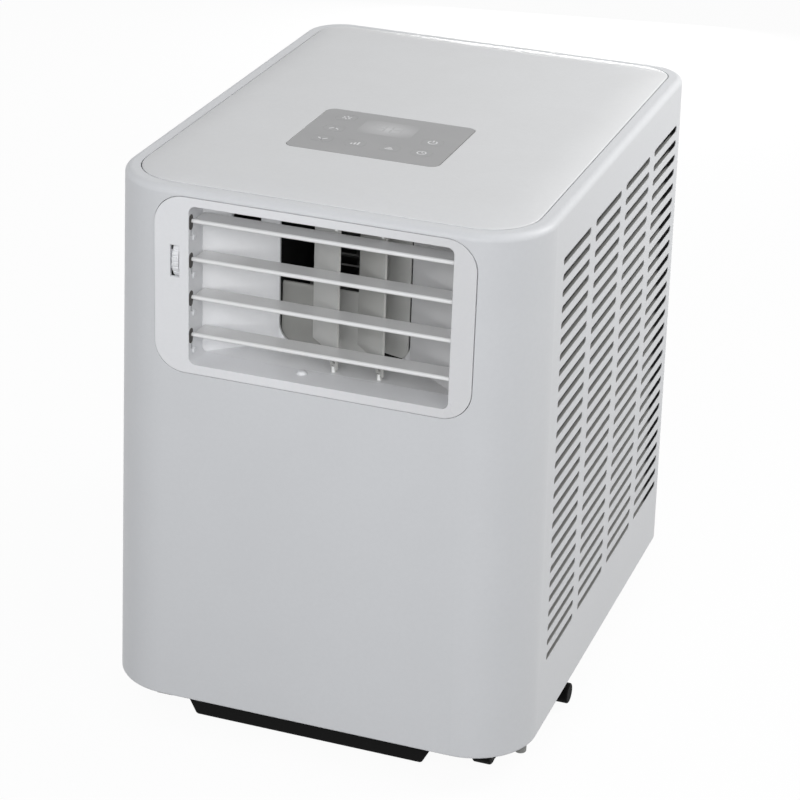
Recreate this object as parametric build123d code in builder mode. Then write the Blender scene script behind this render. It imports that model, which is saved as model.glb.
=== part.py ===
import os
from math import cos, radians, sin, tan

from build123d import *

os.makedirs("parts", exist_ok=True)

# Portable air conditioner on castors, in millimetres.
# Origin: the floor under the middle of the cabinet. Front faces -Y, right side +X, up +Z.

# Clearances
FIT = 0.05  # running fit, on the radius
GAP = 0.4  # seam between fixed panels
FREE = 0.5  # between pieces that pass each other
SEAT = 0.3  # under what stands on another piece
SEAM = 0.1  # between plates that lie against each other

# Cabinet
BODY_Z = 26.0  # bottom edge of the cabinet above the floor
TOP_W = 316.0  # width at the rim
BODY_D = 423.0  # depth, front and back upright
DRAFT = 0.984  # degrees that each side leans in
WALL = 2.5
FRONT_R = 50.0  # upright corners in plan
REAR_R = 32.0
ROLL_R = 5.0  # rolled top edge
EDGE_R = 1.5  # bottom edge
FRONT_Y = -BODY_D / 2
REAR_Y = BODY_D / 2

# Base pan
PAN_UP = 3.0  # from the bottom edge of the cabinet to the pan
PAN_T = 3.0
PAN_WALL = 2.5
PAN_H = 25.0
PAN_Z = BODY_Z + PAN_UP
PAN_FLOOR = PAN_Z + PAN_T
PAN_TOP = PAN_Z + PAN_H

# Compressor, which sets the height of the lower compartment
COMP_R = 52.0
COMP_H = 160.0
FOOT_H = 10.0  # rubber feet
FOOT_R = 9.0
ARM_T = 4.0
COMP_ROOM = 20.5  # over the compressor
COMP_SIDE = 76.0  # from the side of the cabinet
COMP_FRONT = 93.5  # from the front
COMP_Z = PAN_FLOOR + FOOT_H + ARM_T
COMP_X = COMP_SIDE - TOP_W / 2
COMP_Y = FRONT_Y + COMP_FRONT
FOOT_RING = COMP_R + 12.0
TANK_R = 19.0
TANK_H = 118.0
TANK_UP = 48.0  # from the pan to the tank
TANK_X = COMP_X + COMP_R + 25.0
TANK_Y = COMP_Y - 20.0
TUBE_R = 4.0
TUBE_BEND = 8.0

# Partition between the compartments
TRAY_Z = COMP_Z + COMP_H + COMP_ROOM
TRAY_T = 3.0
TRAY_SIDE = 20.0  # from the side of the cabinet at the rim
TRAY_END = 12.0  # from the front and the back
TRAY_LIP = 10.0
TRAY_R = 26.0

# Blowers: upper for room air, lower for exhaust air, both turning about X
DUCT_T = 2.0
FAN_R = 54.0
FAN_BLADE = 10.0  # radial depth of the blades
FAN_BLADES = 36
FAN_SIDE = 5.0  # between the wheel and the housing
FAN_DISC = 2.5
HUB_R = 14.0
HUB_L = 30.0
SHAFT_R = 4.0
MOTOR_R = 38.0
MOTOR_L = 54.0
INLET_R = FAN_R - 9.0
SCROLL_CUT = 8.0  # upper housing outside the wheel: at the cut-off, below and on the far side
SCROLL_TIP = 29.5  # cut-off edge of the upper housing above the shaft
SCROLL_UNDER = 18.0
SCROLL_FAR = 43.0
UPPER_Z = TRAY_Z + TRAY_T + DUCT_T + FREE + 2.0 + FAN_R + SCROLL_UNDER
UPPER_H = 205.5  # from the partition to the rim
RIM_Z = TRAY_Z + UPPER_H  # top of the rim round the lid

# Lid
RIM_W = 11.0  # from the side of the cabinet to the lid groove
RIM_T = 6.0
LEDGE_T = 2.5
LEDGE_W = 5.0
GROOVE = 0.8
LID_UP = 5.0  # middle of the lid above the rim
LID_EDGE_UP = 0.6  # edge of the lid above the rim
LID_T = 3.0
LID_Z = RIM_Z + LID_UP
LID_EDGE_Z = RIM_Z + LID_EDGE_UP
PILLOW_SOFT = 10.0  # from the groove to where the lid levels off
PILLOW_FLAT = 26.0  # from the groove to the flat middle
PILLOW_DROP = 1.5

# Control panel on the lid
PANEL_W = 116.0
PANEL_D = 92.0
PANEL_X = -5.0
PANEL_BACK = 148.5  # from the front of the cabinet to the middle of the panel
PANEL_Y = FRONT_Y + PANEL_BACK
PANEL_R = 7.0
PANEL_T = 1.6
PANEL_LEDGE = 4.0
KEY_W = 15.0
KEY_D = 12.0
KEY_R = 3.0
KEY_H = 3.6
KEY_FLANGE = 1.2
KEY_TRAVEL = 0.8
KEY_GAP = 0.3
DISPLAY_W = 42.0
DISPLAY_D = 30.0
DISPLAY_X = PANEL_X - 1.0
DISPLAY_Y = PANEL_Y + 18.0
BOARD_T = 1.6
BOARD_EDGE = 2.0
SWITCH_W = 6.0
SWITCH_H = 2.0
SWITCH_ROOM = 1.2  # between a pressed key and its switch
POST_R = 2.5
KEY_LEFT = PANEL_X - 38.0  # left column of keys
KEY_RIGHT = PANEL_X + 38.0
KEY_FRONT = PANEL_Y - 21.0  # front row of keys
KEY_MIDDLE = PANEL_Y + 3.5
KEY_SPOTS = [
    (KEY_LEFT, PANEL_Y + 30.0),
    (KEY_LEFT, KEY_MIDDLE),
    (KEY_LEFT, KEY_FRONT),
    (PANEL_X - 12.5, KEY_FRONT),
    (PANEL_X + 13.5, KEY_FRONT),
    (KEY_RIGHT, KEY_FRONT),
    (KEY_RIGHT, KEY_MIDDLE),
]
BOARD_POSTS = [  # clear of the keys
    (PANEL_X - 23.0, PANEL_Y + 37.0),
    (PANEL_X + 47.0, PANEL_Y + 33.0),
    (PANEL_X - 25.0, PANEL_Y - 35.5),
    (PANEL_X + 26.0, PANEL_Y - 35.5),
]

# Side grilles
SLOT_W = 68.8
SLOT_H = 5.5
SLOT_PITCH_Z = 12.0
SLOT_BAR = 13.2  # upright bar between two columns
SLOT_ROWS = 27
SLOT_FRONT = 69.7  # from the front of the cabinet to the first column
SLOT_REAR = 38.5  # from the last column to the back
SLOT_DROP = 37.6  # from the rim to the top row
SLOT_PITCH_Y = SLOT_W + SLOT_BAR
SLOT_COLUMNS = int((BODY_D - SLOT_FRONT - SLOT_REAR + SLOT_BAR + FREE) // SLOT_PITCH_Y)
SLOT_Y0 = FRONT_Y + SLOT_FRONT + SLOT_W / 2
SLOT_TOP_Z = RIM_Z - SLOT_DROP

# Air outlet in the front
VENT_SIDE = 40.0  # from the side of the cabinet at the rim to the frame
VENT_H = 132.0
VENT_R = 22.0
VENT_DROP = 71.5  # from the rim to the middle of the frame
OPEN_LEFT_W = 26.0  # width of the frame beside, below and above the opening
OPEN_RIGHT_W = 16.5
OPEN_LOW_W = 7.0
OPEN_HIGH_W = 6.2
OPEN_R = 5.0
VENT_W = TOP_W - 2 * VENT_SIDE
VENT_Z = RIM_Z - VENT_DROP
OPEN_LEFT = OPEN_LEFT_W - VENT_W / 2
OPEN_RIGHT = VENT_W / 2 - OPEN_RIGHT_W
OPEN_LOW = VENT_Z - VENT_H / 2 + OPEN_LOW_W
OPEN_HIGH = VENT_Z + VENT_H / 2 - OPEN_HIGH_W

# Louvres, their link and the thumbwheel that turns them
LOUVRES = 4
LOUVRE_DROP = 12.4  # from the top of the opening to the first pivot
LOUVRE_PITCH = 28.5
LOUVRE_CHORD = 18.0
LOUVRE_T = 1.6
LOUVRE_GAP = 1.5
PIVOT_IN = 5.5  # behind the front of the cabinet
PIVOT_R = 1.5
BEAD_R = 1.7
NUB_R = 2.4
CRANK = 8.0
CRANK_T = 2.0
CRANK_W = 5.0
LINK_T = 1.9
LINK_W = 7.0
COLLAR_T = 2.0
COLLAR_ROOM = 0.5  # collar behind a level louvre
WHEEL_R = 16.3
WHEEL_PROUD = 1.8  # of the front
WHEEL_T = 4.6
WHEEL_DROP = 42.3  # from the top of the opening to its axle
WHEEL_SLOT_H = 23.6
WHEEL_SLOT_SIDE = 1.6  # more room on the left of the thumbwheel
WHEEL_PIN_R = 2.0
WHEEL_PIN_L = 4.0
THUMB_RIDGES = 24
LOUVRE_TOP_Z = OPEN_HIGH - LOUVRE_DROP
PIVOT_Y = FRONT_Y + PIVOT_IN
COLLAR_D = PIVOT_IN + LOUVRE_CHORD + COLLAR_ROOM
WHEEL_Y = FRONT_Y + WHEEL_R - WHEEL_PROUD
WHEEL_Z = OPEN_HIGH - WHEEL_DROP

# Upright vanes behind the louvres
VANE_YAW = 46.0  # degrees from straight back, swung to the left
VANE_X = 6.8
VANE_PITCH = 34.2
VANE_AHEAD = 5.0  # blade in front of its pivot
VANE_BEHIND = 35.0
VANE_ROOM = 1.0  # between a louvre and a vane turned straight
VANE_T = 1.6
VANE_PIN_R = 2.0
VANE_UP = 12.5  # blade above the floor of the opening
VANE_DOWN = 9.3  # blade below the top of the opening
VANE_CRANK = 22.0
CLIP_W = 10.0
CLIP_H = 9.5
CLIP_LEG = 2.5
VANE_Y = PIVOT_Y + LOUVRE_CHORD + VANE_AHEAD + VANE_ROOM
VANE_LOW = OPEN_LOW + VANE_UP
VANE_HIGH = OPEN_HIGH - VANE_DOWN

# Duct between the outlet and the upper blower
DUCT_ROOM = 34.0  # from the vane pivots to the throat
THROAT_LEFT = -48.0
THROAT_RIGHT = 52.0
THROAT_R = 15.0
DUCT_SKEW = 1.4  # wall measured across, on the slanted sides
DUCT_SLOT_X = -67.3  # slot in the left side of the duct
DUCT_SLOT_W = 16.5
DUCT_SLOT_H = 9.5
DUCT_SLOT_DROP = 21.05  # from the top of the opening
DUCT_BACK = VANE_Y + DUCT_ROOM
UPPER_Y = DUCT_BACK + FAN_R + 39.0
UPPER_REACH = [FAN_R + SCROLL_CUT, FAN_R + SCROLL_UNDER, FAN_R + SCROLL_FAR, OPEN_HIGH - UPPER_Z]

# Coils
COIL_SIDE = 54.0  # from the side of the cabinet at the rim
COIL_T = 30.0
COIL_END = 86.5  # from the front and the back
COIL_PLATE = 2.0
COIL_UP = 6.5  # fins above what the coil stands on
BEND_R = 12.0
BEND_PITCH = 38.4
COIL_X0 = TOP_W / 2 - COIL_SIDE
COIL_L = BODY_D - 2 * COIL_END
COND_Z0 = PAN_FLOOR + COIL_UP + 1.5
COND_Z1 = TRAY_Z - 4.5
EVAP_Z0 = TRAY_Z + TRAY_T + COIL_UP
EVAP_Z1 = RIM_Z - 28.0

# Lower blower and the exhaust port in the back
EXHAUST_R = 61.5
EXHAUST_T = 2.5
EXHAUST_IN = 42.0
EXHAUST_PROUD = WHEEL_PROUD  # stands out at the back as far as the thumbwheel at the front
EXHAUST_EDGE = 6.0  # plate round the collar
LOWER_W = 96.0
LOWER_UP = 96.0  # from the pan to the shaft
LOWER_TOP = 6.5  # from the housing to the partition
LOWER_BACK = 129.5  # from the shaft to the mouth
LOWER_RIGHT = COIL_X0 - 12.0
LOWER_LEFT = LOWER_RIGHT - LOWER_W
LOWER_Z = PAN_FLOOR + LOWER_UP
LOWER_Y = REAR_Y - EXHAUST_IN - LOWER_BACK
LOWER_REACH = [FAN_R + 6.0, FAN_R + 16.0, FAN_R + 28.0, TRAY_Z - LOWER_TOP - DUCT_T - LOWER_Z]
EXHAUST_X = (LOWER_LEFT + LOWER_RIGHT) / 2
EXHAUST_Z = LOWER_Z + LOWER_REACH[3] - EXHAUST_R - 1.5
EXHAUST_PLATE = 2 * (EXHAUST_R + EXHAUST_T + EXHAUST_EDGE)

# Control box behind the upper blower
BOX_W = 170.0
BOX_D = 76.0
BOX_H = 150.0
BOX_R = 6.0
BOX_SIDE = 33.0  # from the left side of the cabinet at the rim
BOX_BACK = 23.5  # from the back
BOX_X = BOX_SIDE + BOX_W / 2 - TOP_W / 2
BOX_Y = REAR_Y - BOX_BACK - BOX_D / 2

# Filters that slide out at the back
FILTER_IN = 12.0  # behind the outer face of the side
FILTER_T = 5.0
NET_T = 0.8
NET_EDGE = 2.0
FILTER_UP = 62.0  # from the bottom edge of the cabinet
FILTER_DROP = 24.0  # from the rim
FILTER_LOW = BODY_Z + FILTER_UP
FILTER_HIGH = RIM_Z - FILTER_DROP
FILTER_FRONT = FRONT_Y + SLOT_FRONT - 4.2
FILTER_END = REAR_Y - 28.5
GRIP_END = REAR_Y - 8.0
TAB_W = 8.0
TAB_H = 46.0
FRAME_W = 7.0
RIB_W = 4.0
RIB_SPOTS = [62.0, -58.0]  # level ribs above and below the middle
RAIL_T = 2.0
RAIL_LIP = 5.0

# Back panel
BACK_SIDE = 40.0  # from the side of the cabinet at the rim
BACK_UP = 38.0  # from the bottom edge of the cabinet
BACK_DROP = 20.0  # from the rim
BACK_W = TOP_W - 2 * BACK_SIDE
BACK_LOW = BODY_Z + BACK_UP
BACK_HIGH = RIM_Z - BACK_DROP
BACK_R = 10.0
BACK_LIP = 7.0
BACK_SLOT_ROWS = 10
BACK_SLOT_BAR = 21.2
BACK_SLOT_DROP = 94.0  # from the top of the panel to the middle of its slots
SCREW_IN = 10.0  # screws from the edges of the panel
SCREW_R = 1.9
SCREW_L = 7.0
SCREW_HEAD_R = 3.6
SCREW_HEAD_H = 2.0
SCREW_CROSS = 4.4
CROSS_W = 0.9
CORD_R = 3.6
GLAND_R = 7.0
CORD_IN = 38.0  # cord inlet from the left and the lower edge of the panel
CORD_UP = 28.0

# Underside
CASTOR_SIDE = 29.5  # from the side of the cabinet at the rim
CASTOR_END = 51.5  # from the front and the back
TRAIL = 8.0
WHEEL2_R = 11.0
WHEEL2_W = 14.0
AXLE_R = 2.0
STEM_R = 4.0
STEM_L = 14.0
BOSS_T = 4.0
CHEEK_T = 2.0
CROWN_T = 2.6
CASTOR_X = TOP_W / 2 - CASTOR_SIDE
CASTOR_Y = BODY_D / 2 - CASTOR_END
SKID_W = 194.0
SKID_SLOPE = 7.0  # each end is shorter by this much at the bottom
SKID_IN = 9.5  # behind the front
SKID_T = 16.0
SKID_Z = 8.5
PAD_SIDE = 1.5
PAD_END = 40.5
PAD_R = 4.5
PAD_Z = 17.5
PAD_X = TOP_W / 2 - PAD_SIDE
PAD_Y = BODY_D / 2 - PAD_END
DRAIN_BACK = 143.5  # from the front
DRAIN_Z = 11.5
DRAIN_R = 4.0
SPOUT_R = 6.5
SPOUT_L = 30.0
SPOUT_SIDE = 4.7  # from the side of the cabinet at the rim
PLUG_R = 8.0
PLUG_L = 11.0
DRAIN_Y = FRONT_Y + DRAIN_BACK
SPOUT_END = TOP_W / 2 - SPOUT_SIDE


def half(z):
    """Half the outer width of the cabinet at a height."""
    return TOP_W / 2 + (RIM_Z - z) * tan(radians(DRAFT))


def drafted(inset, low, high):
    """The cabinet's form, drawn in by an inset, between two heights."""
    with BuildPart() as block:
        with BuildSketch(Plane.XZ):
            with BuildLine():
                Polyline(
                    (inset - half(low), low),
                    (half(low) - inset, low),
                    (half(high) - inset, high),
                    (inset - half(high), high),
                    close=True,
                )
            make_face()
        extrude(amount=BODY_D / 2 - inset, both=True)
        front = block.edges().filter_by(lambda e: abs(e.tangent_at(0.5).Z) > 0.5 and e.center().Y < 0)
        fillet(front, FRONT_R - inset)
        rear = block.edges().filter_by(
            lambda e: abs(e.tangent_at(0.5).Z) > 0.5 and e.center().Y > REAR_Y - inset - 1
        )
        fillet(rear, REAR_R - inset)
    return block.part


def outline(inset, radius_cut=0.0):
    """Plan outline of the top of the cabinet, drawn in by an inset."""
    with BuildSketch() as plan:
        Rectangle(TOP_W - 2 * inset, BODY_D - 2 * inset)
        front = plan.vertices().group_by(Axis.Y)[0]
        fillet(front, FRONT_R - min(inset, RIM_W + GROOVE) - radius_cut)
        rear = plan.vertices().group_by(Axis.Y)[-1]
        fillet(rear, REAR_R - min(inset, RIM_W + GROOVE) - radius_cut)
    return plan.sketch


def keep(builder, name):
    """Label a finished sub-part and write it out."""
    builder.part.label = name
    export_step(builder.part, f"parts/{name}.step")


def louvre_z(index):
    return LOUVRE_TOP_Z - index * LOUVRE_PITCH


# Cabinet shell: front, sides with grilles, rounded rear corners and the rim round the lid
shell_outer = drafted(0.0, BODY_Z, RIM_Z)
shell_inner = drafted(WALL, BODY_Z - 5, RIM_Z - RIM_T)
lid_hole = outline(RIM_W)
ledge_hole = outline(RIM_W + LEDGE_W)
slot_spots = []
for row in range(SLOT_ROWS):
    for column in range(SLOT_COLUMNS):
        slot_spots.append((SLOT_Y0 + column * SLOT_PITCH_Y, SLOT_TOP_Z - row * SLOT_PITCH_Z))
filter_mid_z = (FILTER_LOW + FILTER_HIGH) / 2
filter_plane = Plane(
    origin=(half(filter_mid_z) - FILTER_IN, 0, filter_mid_z),
    x_dir=(0, 1, 0),
    z_dir=(cos(radians(DRAFT)), 0, sin(radians(DRAFT))),
)
filter_h = FILTER_HIGH - FILTER_LOW
filter_pass = FILTER_T + NET_T

with BuildPart() as filter_slot:
    with BuildSketch(filter_plane.offset(FREE)):
        with Locations((REAR_Y - 20, 0)):
            Rectangle(60, filter_h + 2 * FREE)
    extrude(amount=-(filter_pass + 2 * FREE))
    mirror(about=Plane.YZ)

with BuildPart() as shell:
    add(shell_outer)
    fillet(shell.edges().group_by(Axis.Z)[-1], ROLL_R)
    fillet(shell.edges().group_by(Axis.Z)[0], EDGE_R)
    add(shell_inner, mode=Mode.SUBTRACT)
    with BuildSketch(Plane.XY.offset(RIM_Z)):
        add(lid_hole)
    extrude(amount=-(RIM_T - LEDGE_T), mode=Mode.SUBTRACT)
    with BuildSketch(Plane.XY.offset(RIM_Z)):
        add(ledge_hole)
    extrude(amount=-(RIM_T + 1), mode=Mode.SUBTRACT)
    with BuildSketch(Plane.XZ.offset(BODY_D / 2 + 1)):
        with Locations((0, VENT_Z)):
            RectangleRounded(VENT_W + 2 * GAP, VENT_H + 2 * GAP, VENT_R + GAP)
    extrude(amount=-(WALL + 1 + GAP), mode=Mode.SUBTRACT)
    with BuildSketch(Plane.XZ.offset(-BODY_D / 2 - 1)):
        with Locations((0, (BACK_LOW + BACK_HIGH) / 2)):
            RectangleRounded(BACK_W + 2 * GAP, BACK_HIGH - BACK_LOW + 2 * GAP, BACK_R + GAP)
    extrude(amount=WALL + 2, mode=Mode.SUBTRACT)
    add(filter_slot.part, mode=Mode.SUBTRACT)
    with BuildSketch(Plane.YZ):
        with Locations(*slot_spots):
            SlotOverall(SLOT_W, SLOT_H)
    extrude(amount=TOP_W, both=True, mode=Mode.SUBTRACT)
keep(shell, "shell")

# Lid: a shallow pillow with the control panel let into it
lid_edge = outline(RIM_W + GROOVE)
lid_under = outline(RIM_W + GROOVE + LID_T)
lid_soft = outline(RIM_W + GROOVE + PILLOW_SOFT, -6.0)
lid_flat = outline(RIM_W + GROOVE + PILLOW_FLAT, -14.0)
with BuildPart() as top_lid:
    with BuildSketch(Plane.XY.offset(RIM_Z - RIM_T + LEDGE_T)):
        add(lid_edge)
    extrude(amount=LID_EDGE_Z - RIM_Z + RIM_T - LEDGE_T)
    with BuildSketch(Plane.XY.offset(LID_EDGE_Z)):
        add(lid_edge)
    with BuildSketch(Plane.XY.offset(LID_Z - PILLOW_DROP)):
        add(lid_soft)
    with BuildSketch(Plane.XY.offset(LID_Z)):
        add(lid_flat)
    loft(ruled=True)
    with BuildSketch(Plane.XY.offset(RIM_Z - RIM_T + LEDGE_T)):
        add(lid_under)
    extrude(amount=LID_EDGE_Z - LID_T + 1 - RIM_Z + RIM_T - LEDGE_T, mode=Mode.SUBTRACT)
    with BuildSketch(Plane.XY.offset(LID_Z)):
        with Locations((PANEL_X, PANEL_Y)):
            RectangleRounded(PANEL_W + 2 * GAP, PANEL_D + 2 * GAP, PANEL_R + GAP)
    extrude(amount=-PANEL_T, mode=Mode.SUBTRACT)
    with BuildSketch(Plane.XY.offset(LID_Z)):
        with Locations((PANEL_X, PANEL_Y)):
            RectangleRounded(PANEL_W - 2 * PANEL_LEDGE, PANEL_D - 2 * PANEL_LEDGE, PANEL_R)
    extrude(amount=-20, mode=Mode.SUBTRACT)
keep(top_lid, "top_lid")

# Control panel: overlay, display window, keys and the board under them
with BuildPart() as panel_overlay:
    with BuildSketch(Plane.XY.offset(LID_Z)):
        with Locations((PANEL_X, PANEL_Y)):
            RectangleRounded(PANEL_W, PANEL_D, PANEL_R)
        with Locations(*KEY_SPOTS):
            RectangleRounded(KEY_W + 2 * KEY_GAP, KEY_D + 2 * KEY_GAP, KEY_R + KEY_GAP, mode=Mode.SUBTRACT)
        with Locations((DISPLAY_X, DISPLAY_Y)):
            RectangleRounded(DISPLAY_W, DISPLAY_D, KEY_R, mode=Mode.SUBTRACT)
    extrude(amount=-PANEL_T)
keep(panel_overlay, "panel_overlay")

with BuildPart() as display_window:
    with BuildSketch(Plane.XY.offset(LID_Z)):
        with Locations((DISPLAY_X, DISPLAY_Y)):
            RectangleRounded(DISPLAY_W - 2 * FIT, DISPLAY_D - 2 * FIT, KEY_R - FIT)
    extrude(amount=-PANEL_T)
keep(display_window, "display_window")

for number, spot in enumerate(KEY_SPOTS, start=1):
    with BuildPart() as key:
        with BuildSketch(Plane.XY.offset(LID_Z)):
            with Locations(spot):
                RectangleRounded(KEY_W, KEY_D, KEY_R)
        extrude(amount=-KEY_H)
        with BuildSketch(Plane.XY.offset(LID_Z - PANEL_T - KEY_GAP)):
            with Locations(spot):
                RectangleRounded(KEY_W + 2 * KEY_FLANGE, KEY_D + 2 * KEY_FLANGE, KEY_R + KEY_FLANGE)
        extrude(amount=-(KEY_H - PANEL_T - KEY_GAP))
    keep(key, f"key_{number}")

board_z = LID_Z - KEY_H - KEY_TRAVEL - SWITCH_ROOM - SWITCH_H
with BuildPart() as control_board:
    with BuildSketch(Plane.XY.offset(board_z)):
        with Locations((PANEL_X, PANEL_Y)):
            Rectangle(PANEL_W - 2 * (PANEL_LEDGE + BOARD_EDGE), PANEL_D - 2 * (PANEL_LEDGE + BOARD_EDGE))
    extrude(amount=-BOARD_T)
    with BuildSketch(Plane.XY.offset(board_z)):
        with Locations(*KEY_SPOTS):
            Rectangle(SWITCH_W, SWITCH_W)
    extrude(amount=SWITCH_H)
    with BuildSketch(Plane.XY.offset(board_z)):
        with Locations((DISPLAY_X, DISPLAY_Y)):
            Rectangle(DISPLAY_W - 6, DISPLAY_D - 6)
    extrude(amount=LID_Z - PANEL_T - 1 - board_z)
    with BuildSketch(Plane.XY.offset(board_z)):
        with Locations(*BOARD_POSTS):
            Circle(POST_R)
    extrude(amount=LID_Z - PANEL_T - board_z - FREE)
keep(control_board, "control_board")

# Outlet frame with louvre bearings on both sides and the thumbwheel bracket on the left
open_x = (OPEN_LEFT + OPEN_RIGHT) / 2
open_z = (OPEN_LOW + OPEN_HIGH) / 2
open_w = OPEN_RIGHT - OPEN_LEFT
open_h = OPEN_HIGH - OPEN_LOW
wheel_right = OPEN_LEFT - COLLAR_T - 2 * CRANK_T - 3 * FREE
wheel_mid_x = wheel_right - WHEEL_T / 2
bracket_x = wheel_right - WHEEL_T - FREE
bearing_spots = [(PIVOT_Y, louvre_z(i)) for i in range(LOUVRES)]
with BuildPart() as vent_frame:
    with BuildSketch(Plane.XZ.offset(BODY_D / 2)):
        with Locations((0, VENT_Z)):
            RectangleRounded(VENT_W, VENT_H, VENT_R)
    extrude(amount=-WALL)
    with BuildSketch(Plane.XZ.offset(BODY_D / 2 - WALL)):
        with Locations((open_x, open_z)):
            Rectangle(open_w + 2 * COLLAR_T, open_h + 2 * COLLAR_T)
    extrude(amount=WALL - COLLAR_D)
    with BuildSketch(Plane.XZ.offset(BODY_D / 2 + 1)):
        with Locations((open_x, open_z)):
            RectangleRounded(open_w, open_h, OPEN_R)
    extrude(amount=-COLLAR_D - 2, mode=Mode.SUBTRACT)
    with BuildSketch(Plane.YZ.offset(OPEN_LEFT)):
        with Locations(*[(PIVOT_Y + 3.5, louvre_z(i) - 13.4) for i in range(LOUVRES)]):
            Circle(NUB_R)
    extrude(amount=LOUVRE_GAP - FREE)
    with BuildSketch(Plane.XZ.offset(BODY_D / 2 - WALL)):
        with Locations((bracket_x - 2, WHEEL_Z)):
            Rectangle(4, 14)
    extrude(amount=FRONT_Y + WALL - WHEEL_Y - 5)
    with BuildSketch(Plane.YZ.offset(OPEN_LEFT - COLLAR_T - 1)):
        with Locations(*bearing_spots):
            Circle(PIVOT_R + FIT)
        with Locations(*[(PIVOT_Y, louvre_z(i) - 6.5) for i in range(LOUVRES)]):
            Rectangle(2 * PIVOT_R - 0.2, 9)
    extrude(amount=COLLAR_T + 2, mode=Mode.SUBTRACT)
    with BuildSketch(Plane.YZ.offset(OPEN_RIGHT - 1)):
        with Locations(*bearing_spots):
            Circle(PIVOT_R + FIT)
    extrude(amount=COLLAR_T + 2, mode=Mode.SUBTRACT)
    with BuildSketch(Plane.YZ.offset(bracket_x - 5)):
        with Locations((WHEEL_Y, WHEEL_Z)):
            Circle(WHEEL_PIN_R + FIT)
    extrude(amount=6, mode=Mode.SUBTRACT)
    with BuildSketch(Plane.XZ.offset(BODY_D / 2 + 1)):
        with Locations((wheel_mid_x - WHEEL_SLOT_SIDE / 2, WHEEL_Z)):
            Rectangle(WHEEL_T + 2 * KEY_GAP + WHEEL_SLOT_SIDE, WHEEL_SLOT_H)
    extrude(amount=-WALL - 2, mode=Mode.SUBTRACT)
keep(vent_frame, "vent_frame")

# Louvres: each has a pivot at its front edge and a crank outside the left wall of the frame
blade_left = OPEN_LEFT + LOUVRE_GAP
blade_right = OPEN_RIGHT - LOUVRE_GAP
crank_right = OPEN_LEFT - COLLAR_T - FREE
link_right = crank_right - CRANK_T - FREE
for i in range(LOUVRES):
    z = louvre_z(i)
    with BuildPart() as louvre:
        with BuildSketch(Plane.YZ.offset(blade_left)):
            with Locations((PIVOT_Y, z)):
                Circle(BEAD_R)
            with BuildLine():
                Polyline(
                    (PIVOT_Y, z - LOUVRE_T / 2),
                    (PIVOT_Y + LOUVRE_CHORD, z - LOUVRE_T / 4),
                    (PIVOT_Y + LOUVRE_CHORD, z + LOUVRE_T / 4),
                    (PIVOT_Y, z + LOUVRE_T / 2),
                    close=True,
                )
            make_face()
        extrude(amount=blade_right - blade_left)
        with BuildSketch(Plane.YZ.offset(blade_right)):
            with Locations((PIVOT_Y, z)):
                Circle(PIVOT_R)
        extrude(amount=LOUVRE_GAP + COLLAR_T - FREE)
        with BuildSketch(Plane.YZ.offset(blade_left)):
            with Locations((PIVOT_Y, z)):
                Circle(PIVOT_R)
        extrude(amount=crank_right - blade_left)
        with BuildSketch(Plane.YZ.offset(crank_right)):
            with Locations((PIVOT_Y + CRANK / 2, z)):
                SlotCenterToCenter(CRANK, CRANK_W)
        extrude(amount=-CRANK_T)
        with BuildSketch(Plane.YZ.offset(crank_right - CRANK_T)):
            with Locations((PIVOT_Y + CRANK, z)):
                Circle(PIVOT_R)
        extrude(amount=-(LINK_T + FREE + 0.2))
    keep(louvre, f"louvre_{i + 1}")

# Link bar that ties the louvre cranks to the thumbwheel
with BuildPart() as louvre_link:
    with BuildSketch(Plane.YZ.offset(link_right)):
        with Locations((PIVOT_Y + CRANK, (louvre_z(0) + louvre_z(LOUVRES - 1)) / 2)):
            Rectangle(LINK_W, (LOUVRES - 1) * LOUVRE_PITCH + LINK_W)
        with Locations(((PIVOT_Y + WHEEL_Y) / 2 + CRANK, WHEEL_Z)):
            SlotCenterToCenter(WHEEL_Y - PIVOT_Y, LINK_W)
        with Locations(*[(PIVOT_Y + CRANK, louvre_z(i)) for i in range(LOUVRES)]):
            Circle(PIVOT_R + FIT, mode=Mode.SUBTRACT)
        with Locations((WHEEL_Y + CRANK, WHEEL_Z)):
            Circle(PIVOT_R + FIT, mode=Mode.SUBTRACT)
    extrude(amount=-LINK_T)
keep(louvre_link, "louvre_link")

# Thumbwheel with ridges, its axle and a crank pin
with BuildPart() as thumbwheel:
    with BuildSketch(Plane.YZ.offset(wheel_right)):
        with Locations((WHEEL_Y, WHEEL_Z)):
            Circle(WHEEL_R)
            with PolarLocations(WHEEL_R, THUMB_RIDGES):
                Circle(0.7, mode=Mode.SUBTRACT)
    extrude(amount=-WHEEL_T)
    with BuildSketch(Plane.YZ.offset(wheel_right - WHEEL_T)):
        with Locations((WHEEL_Y, WHEEL_Z)):
            Circle(WHEEL_PIN_R)
    extrude(amount=-WHEEL_PIN_L)
    with BuildSketch(Plane.YZ.offset(wheel_right)):
        with Locations((WHEEL_Y + CRANK, WHEEL_Z)):
            Circle(PIVOT_R)
    extrude(amount=LINK_T + FREE + 0.2)
keep(thumbwheel, "louvre_thumbwheel")

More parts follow.
